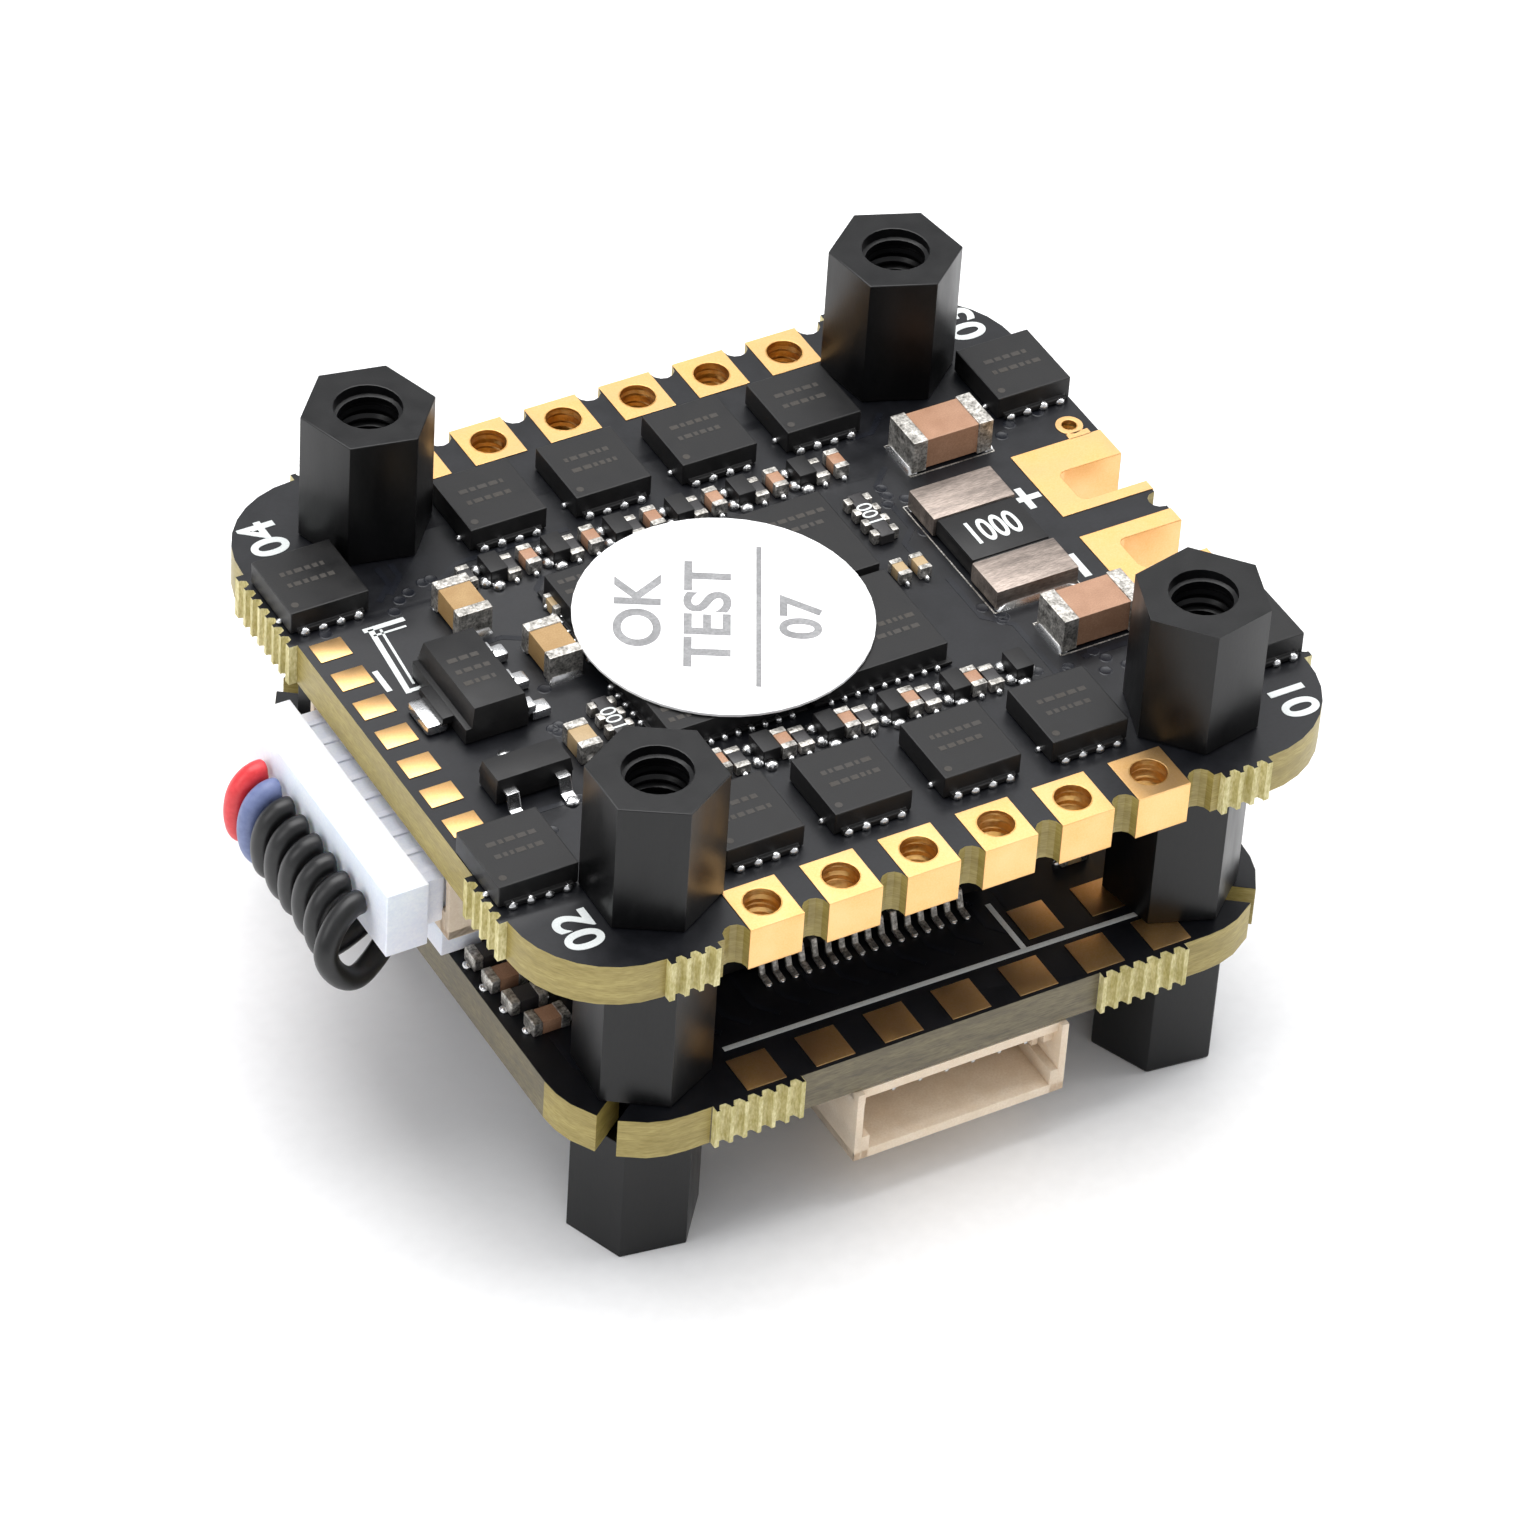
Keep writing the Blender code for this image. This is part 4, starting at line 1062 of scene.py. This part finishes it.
def gull_wing(bm):
    """One lead: out of the body, down and along the board, 0.22 mm wide."""
    path = [(0.0, 0.72), (0.28, 0.72), (0.48, 0.12), (0.95, 0.08)]
    for (ay, az), (by, bz) in zip(path, path[1:]):
        along = math.hypot(by - ay, bz - az)
        tilt = math.atan2(bz - az, by - ay)
        turned = Matrix.Rotation(tilt, 4, "X")
        where = Matrix.Translation(Vector((0, (ay + by) / 2, (az + bz) / 2)) * MM) @ turned
        size = Matrix.Diagonal((0.22 * MM, (along + 0.08) * MM, 0.12 * MM, 1))
        made = bmesh.ops.create_cube(bm, size=1.0, matrix=where @ size)["verts"]
        edges = list({e for v in made for e in v.link_edges})
        bmesh.ops.bevel(bm, geom=edges, offset=0.02 * MM, segments=1, affect="EDGES")


leads, lead_beads = [], []
for side, turn in ((1, 0), (-1, 180)):
    for i in range(16):
        offset = (i - 7.5) * 0.5
        leads.append(((mid_x + offset, mid_y + side * 4.98, LOWER_DECK), turn))
        leads.append(((mid_x - side * 4.98, mid_y + offset, LOWER_DECK), turn + 90))
        lead_beads.append(((mid_x + offset, mid_y + side * 5.9, LOWER_DECK + 0.02), turn, (0.5, 0.6, 0.35)))
        lead_beads.append(((mid_x + side * 5.9, mid_y + offset, LOWER_DECK + 0.02), 90, (0.5, 0.6, 0.35)))
settle(planted("processor_leads", shape_of(gull_wing), leads, TINNED), "tin_plate")
settle(planted("processor_solder", BEAD, lead_beads, SOLDER), "tin_plate", crease=BEAD_CREASE)
diode_spots = ((-12.18, -4.42, 180), (-10.32, -4.42, 180), (-11.25, -3.28, 0))
diode_leads = [((x, y, DECK), turn, (2.0, 1.0, 0.85)) for x, y, turn in diode_spots]
settle(planted("diode_leads", shape_of(gull_wing), diode_leads, SOLDER), "tin_plate")

contacts = bmesh.new()
for i in range(5):
    block(contacts, (3.4, 0.35, 0.05), (ux + 0.9, uy + (i - 2) * 0.65, uz + 1.97), 0.01)
settle(placed("usb_contacts", contacts, GOLD), "tin_plate")


# ---------------------------------------------------------------- copper under the mask, and vias

TRACES = [
    [(-12.9, 6.2), (-11.9, 7.2), (-11.9, 8.4)],
    [(-9.6, 6.0), (-8.2, 6.9), (-4.0, 6.9)],
    [(-10.9, 6.4), (-10.2, 7.1), (-10.2, 7.8)],
    [(-11.4, 6.2), (-10.7, 6.9), (-10.7, 7.8)],
    [(6.2, -0.8), (6.2, -3.0), (7.0, -3.8), (7.0, -6.6)],
    [(5.8, 0.8), (5.8, 1.4), (6.4, 2.0), (6.4, 4.4), (7.2, 5.2)],
    [(11.2, -5.4), (10.4, -6.2), (8.2, -6.2)],
    [(6.9, 7.0), (7.7, 7.0), (8.5, 7.8)],
    [(10.4, 6.9), (11.0, 6.3), (12.6, 5.7)],
    [(-6.4, 3.8), (-6.4, 4.6), (-5.9, 5.1)],
    [(-13.0, -5.2), (-9.6, -5.2), (-8.9, -5.9)],
    [(-9.7, 2.9), (-8.6, 2.9), (-7.7, 2.4)],
]
settle(strips("masked_tracks", TRACES, DECK + 0.004, 0.22, 0.012, TRACK), "solder_mask")
LOWER_TRACES = [
    [(x, -7.6 + 0.3 * (i % 3)), (x, -9.2), (x + 0.6, -9.9)]
    for i, x in enumerate(-12 + 1.1 * i for i in range(16))
]
settle(strips("lower_tracks", LOWER_TRACES, LOWER_DECK + 0.004, 0.2, 0.012, TRACK), "solder_mask")


def via(bm):
    """A tented hole: a low ring of copper under the mask."""
    low = Matrix.Translation((0, 0, 0.008 * MM))
    size = {"radius1": 0.24 * MM, "radius2": 0.2 * MM, "depth": 0.02 * MM}
    made = bmesh.ops.create_cone(bm, cap_ends=True, segments=14, matrix=low, **size)
    top = [f for v in made["verts"] for f in v.link_faces if f.normal.z > 0.9]
    bmesh.ops.inset_individual(bm, faces=list(set(top)), thickness=0.09 * MM, depth=-0.015 * MM)


vias = []
scatter = random.Random(5)
for x_low, x_high, y_low, y_high, count in (
    (-13.8, -8.2, 5.2, 6.6, 9),
    (6.3, 7.0, -4.6, 4.6, 9),
    (-13.2, -8.6, -6.4, -5.2, 7),
    (6.4, 9.4, -7.2, -5.9, 8),
    (10.6, 13.6, 4.6, 5.6, 6),
    (10.9, 13.8, -5.8, -4.6, 7),
    (-9.3, -8.2, -2.2, 0.0, 4),
):
    for _ in range(count):
        vias.append(((scatter.uniform(x_low, x_high), scatter.uniform(y_low, y_high), DECK), 0, (1, 1, 1)))
settle(planted("tented_vias", shape_of(via), vias, TRACK), "solder_mask")


# ---------------------------------------------------------------- floor, light and camera

floor_mesh = bpy.data.meshes.new("floor")
reach = 0.6
floor_mesh.from_pydata(
    [(x * reach, y * reach, -0.00001) for x, y in ((-1, -1), (1, -1), (1, 1), (-1, 1))],
    [],
    [(0, 1, 2, 3)],
)
PAPER = finish_of("white_background_paper", "#fafafa", 0.9, "#f6f6f6", grain=0.6, depth=0.0, patch=30)
object_of("floor", floor_mesh, PAPER)

scene = bpy.context.scene
scene.view_settings.view_transform = "Standard"
world = bpy.data.worlds.new("studio")
scene.world = world
world.use_nodes = True
world.node_tree.nodes["Background"].inputs["Color"].default_value = colour("#f7f8fb")
world.node_tree.nodes["Background"].inputs["Strength"].default_value = 0.66


def lamp(name, place, aim, size, power):
    light = bpy.data.lights.new(name, "AREA")
    light.shape = "RECTANGLE"
    light.size, light.size_y = size
    light.energy = power
    holder = bpy.data.objects.new(name, light)
    holder.location = place
    holder.rotation_euler = (Vector(aim) - Vector(place)).to_track_quat("-Z", "Y").to_euler()
    scene.collection.objects.link(holder)


lamp("overhead_softbox", (0.02, 0.12, 0.45), (0, 0, 0.01), (0.45, 0.4), 2.5)
lamp("right_softbox", (0.42, -0.05, 0.26), (0, 0, 0.01), (0.3, 0.25), 0.7)
lamp("left_softbox", (-0.4, 0.02, 0.28), (0, 0, 0.01), (0.25, 0.25), 0.5)

AZIMUTH, ELEVATION, ROLL = math.radians(-31.65), math.radians(41.15), math.radians(3.99)
DISTANCE, AIM_X, AIM_Y = 253.1, -0.315, -4.872
flat = math.cos(ELEVATION)
away = Vector((math.sin(AZIMUTH) * flat, -math.cos(AZIMUTH) * flat, math.sin(ELEVATION)))
right = Vector((math.cos(AZIMUTH), math.sin(AZIMUTH), 0))
above = away.cross(right)
side = right * math.cos(ROLL) + above * math.sin(ROLL)
up = above * math.cos(ROLL) - right * math.sin(ROLL)
lens = bpy.data.cameras.new("camera")
lens.sensor_width = 36.0
lens.lens = 181.0
lens.clip_start = 0.01
camera = bpy.data.objects.new("camera", lens)
facing = Matrix((side, up, away)).transposed().to_4x4()
stand = at(0, 0, DECK) + (side * AIM_X + up * AIM_Y + away * DISTANCE) * MM
camera.matrix_world = Matrix.Translation(stand) @ facing
scene.collection.objects.link(camera)
scene.camera = camera
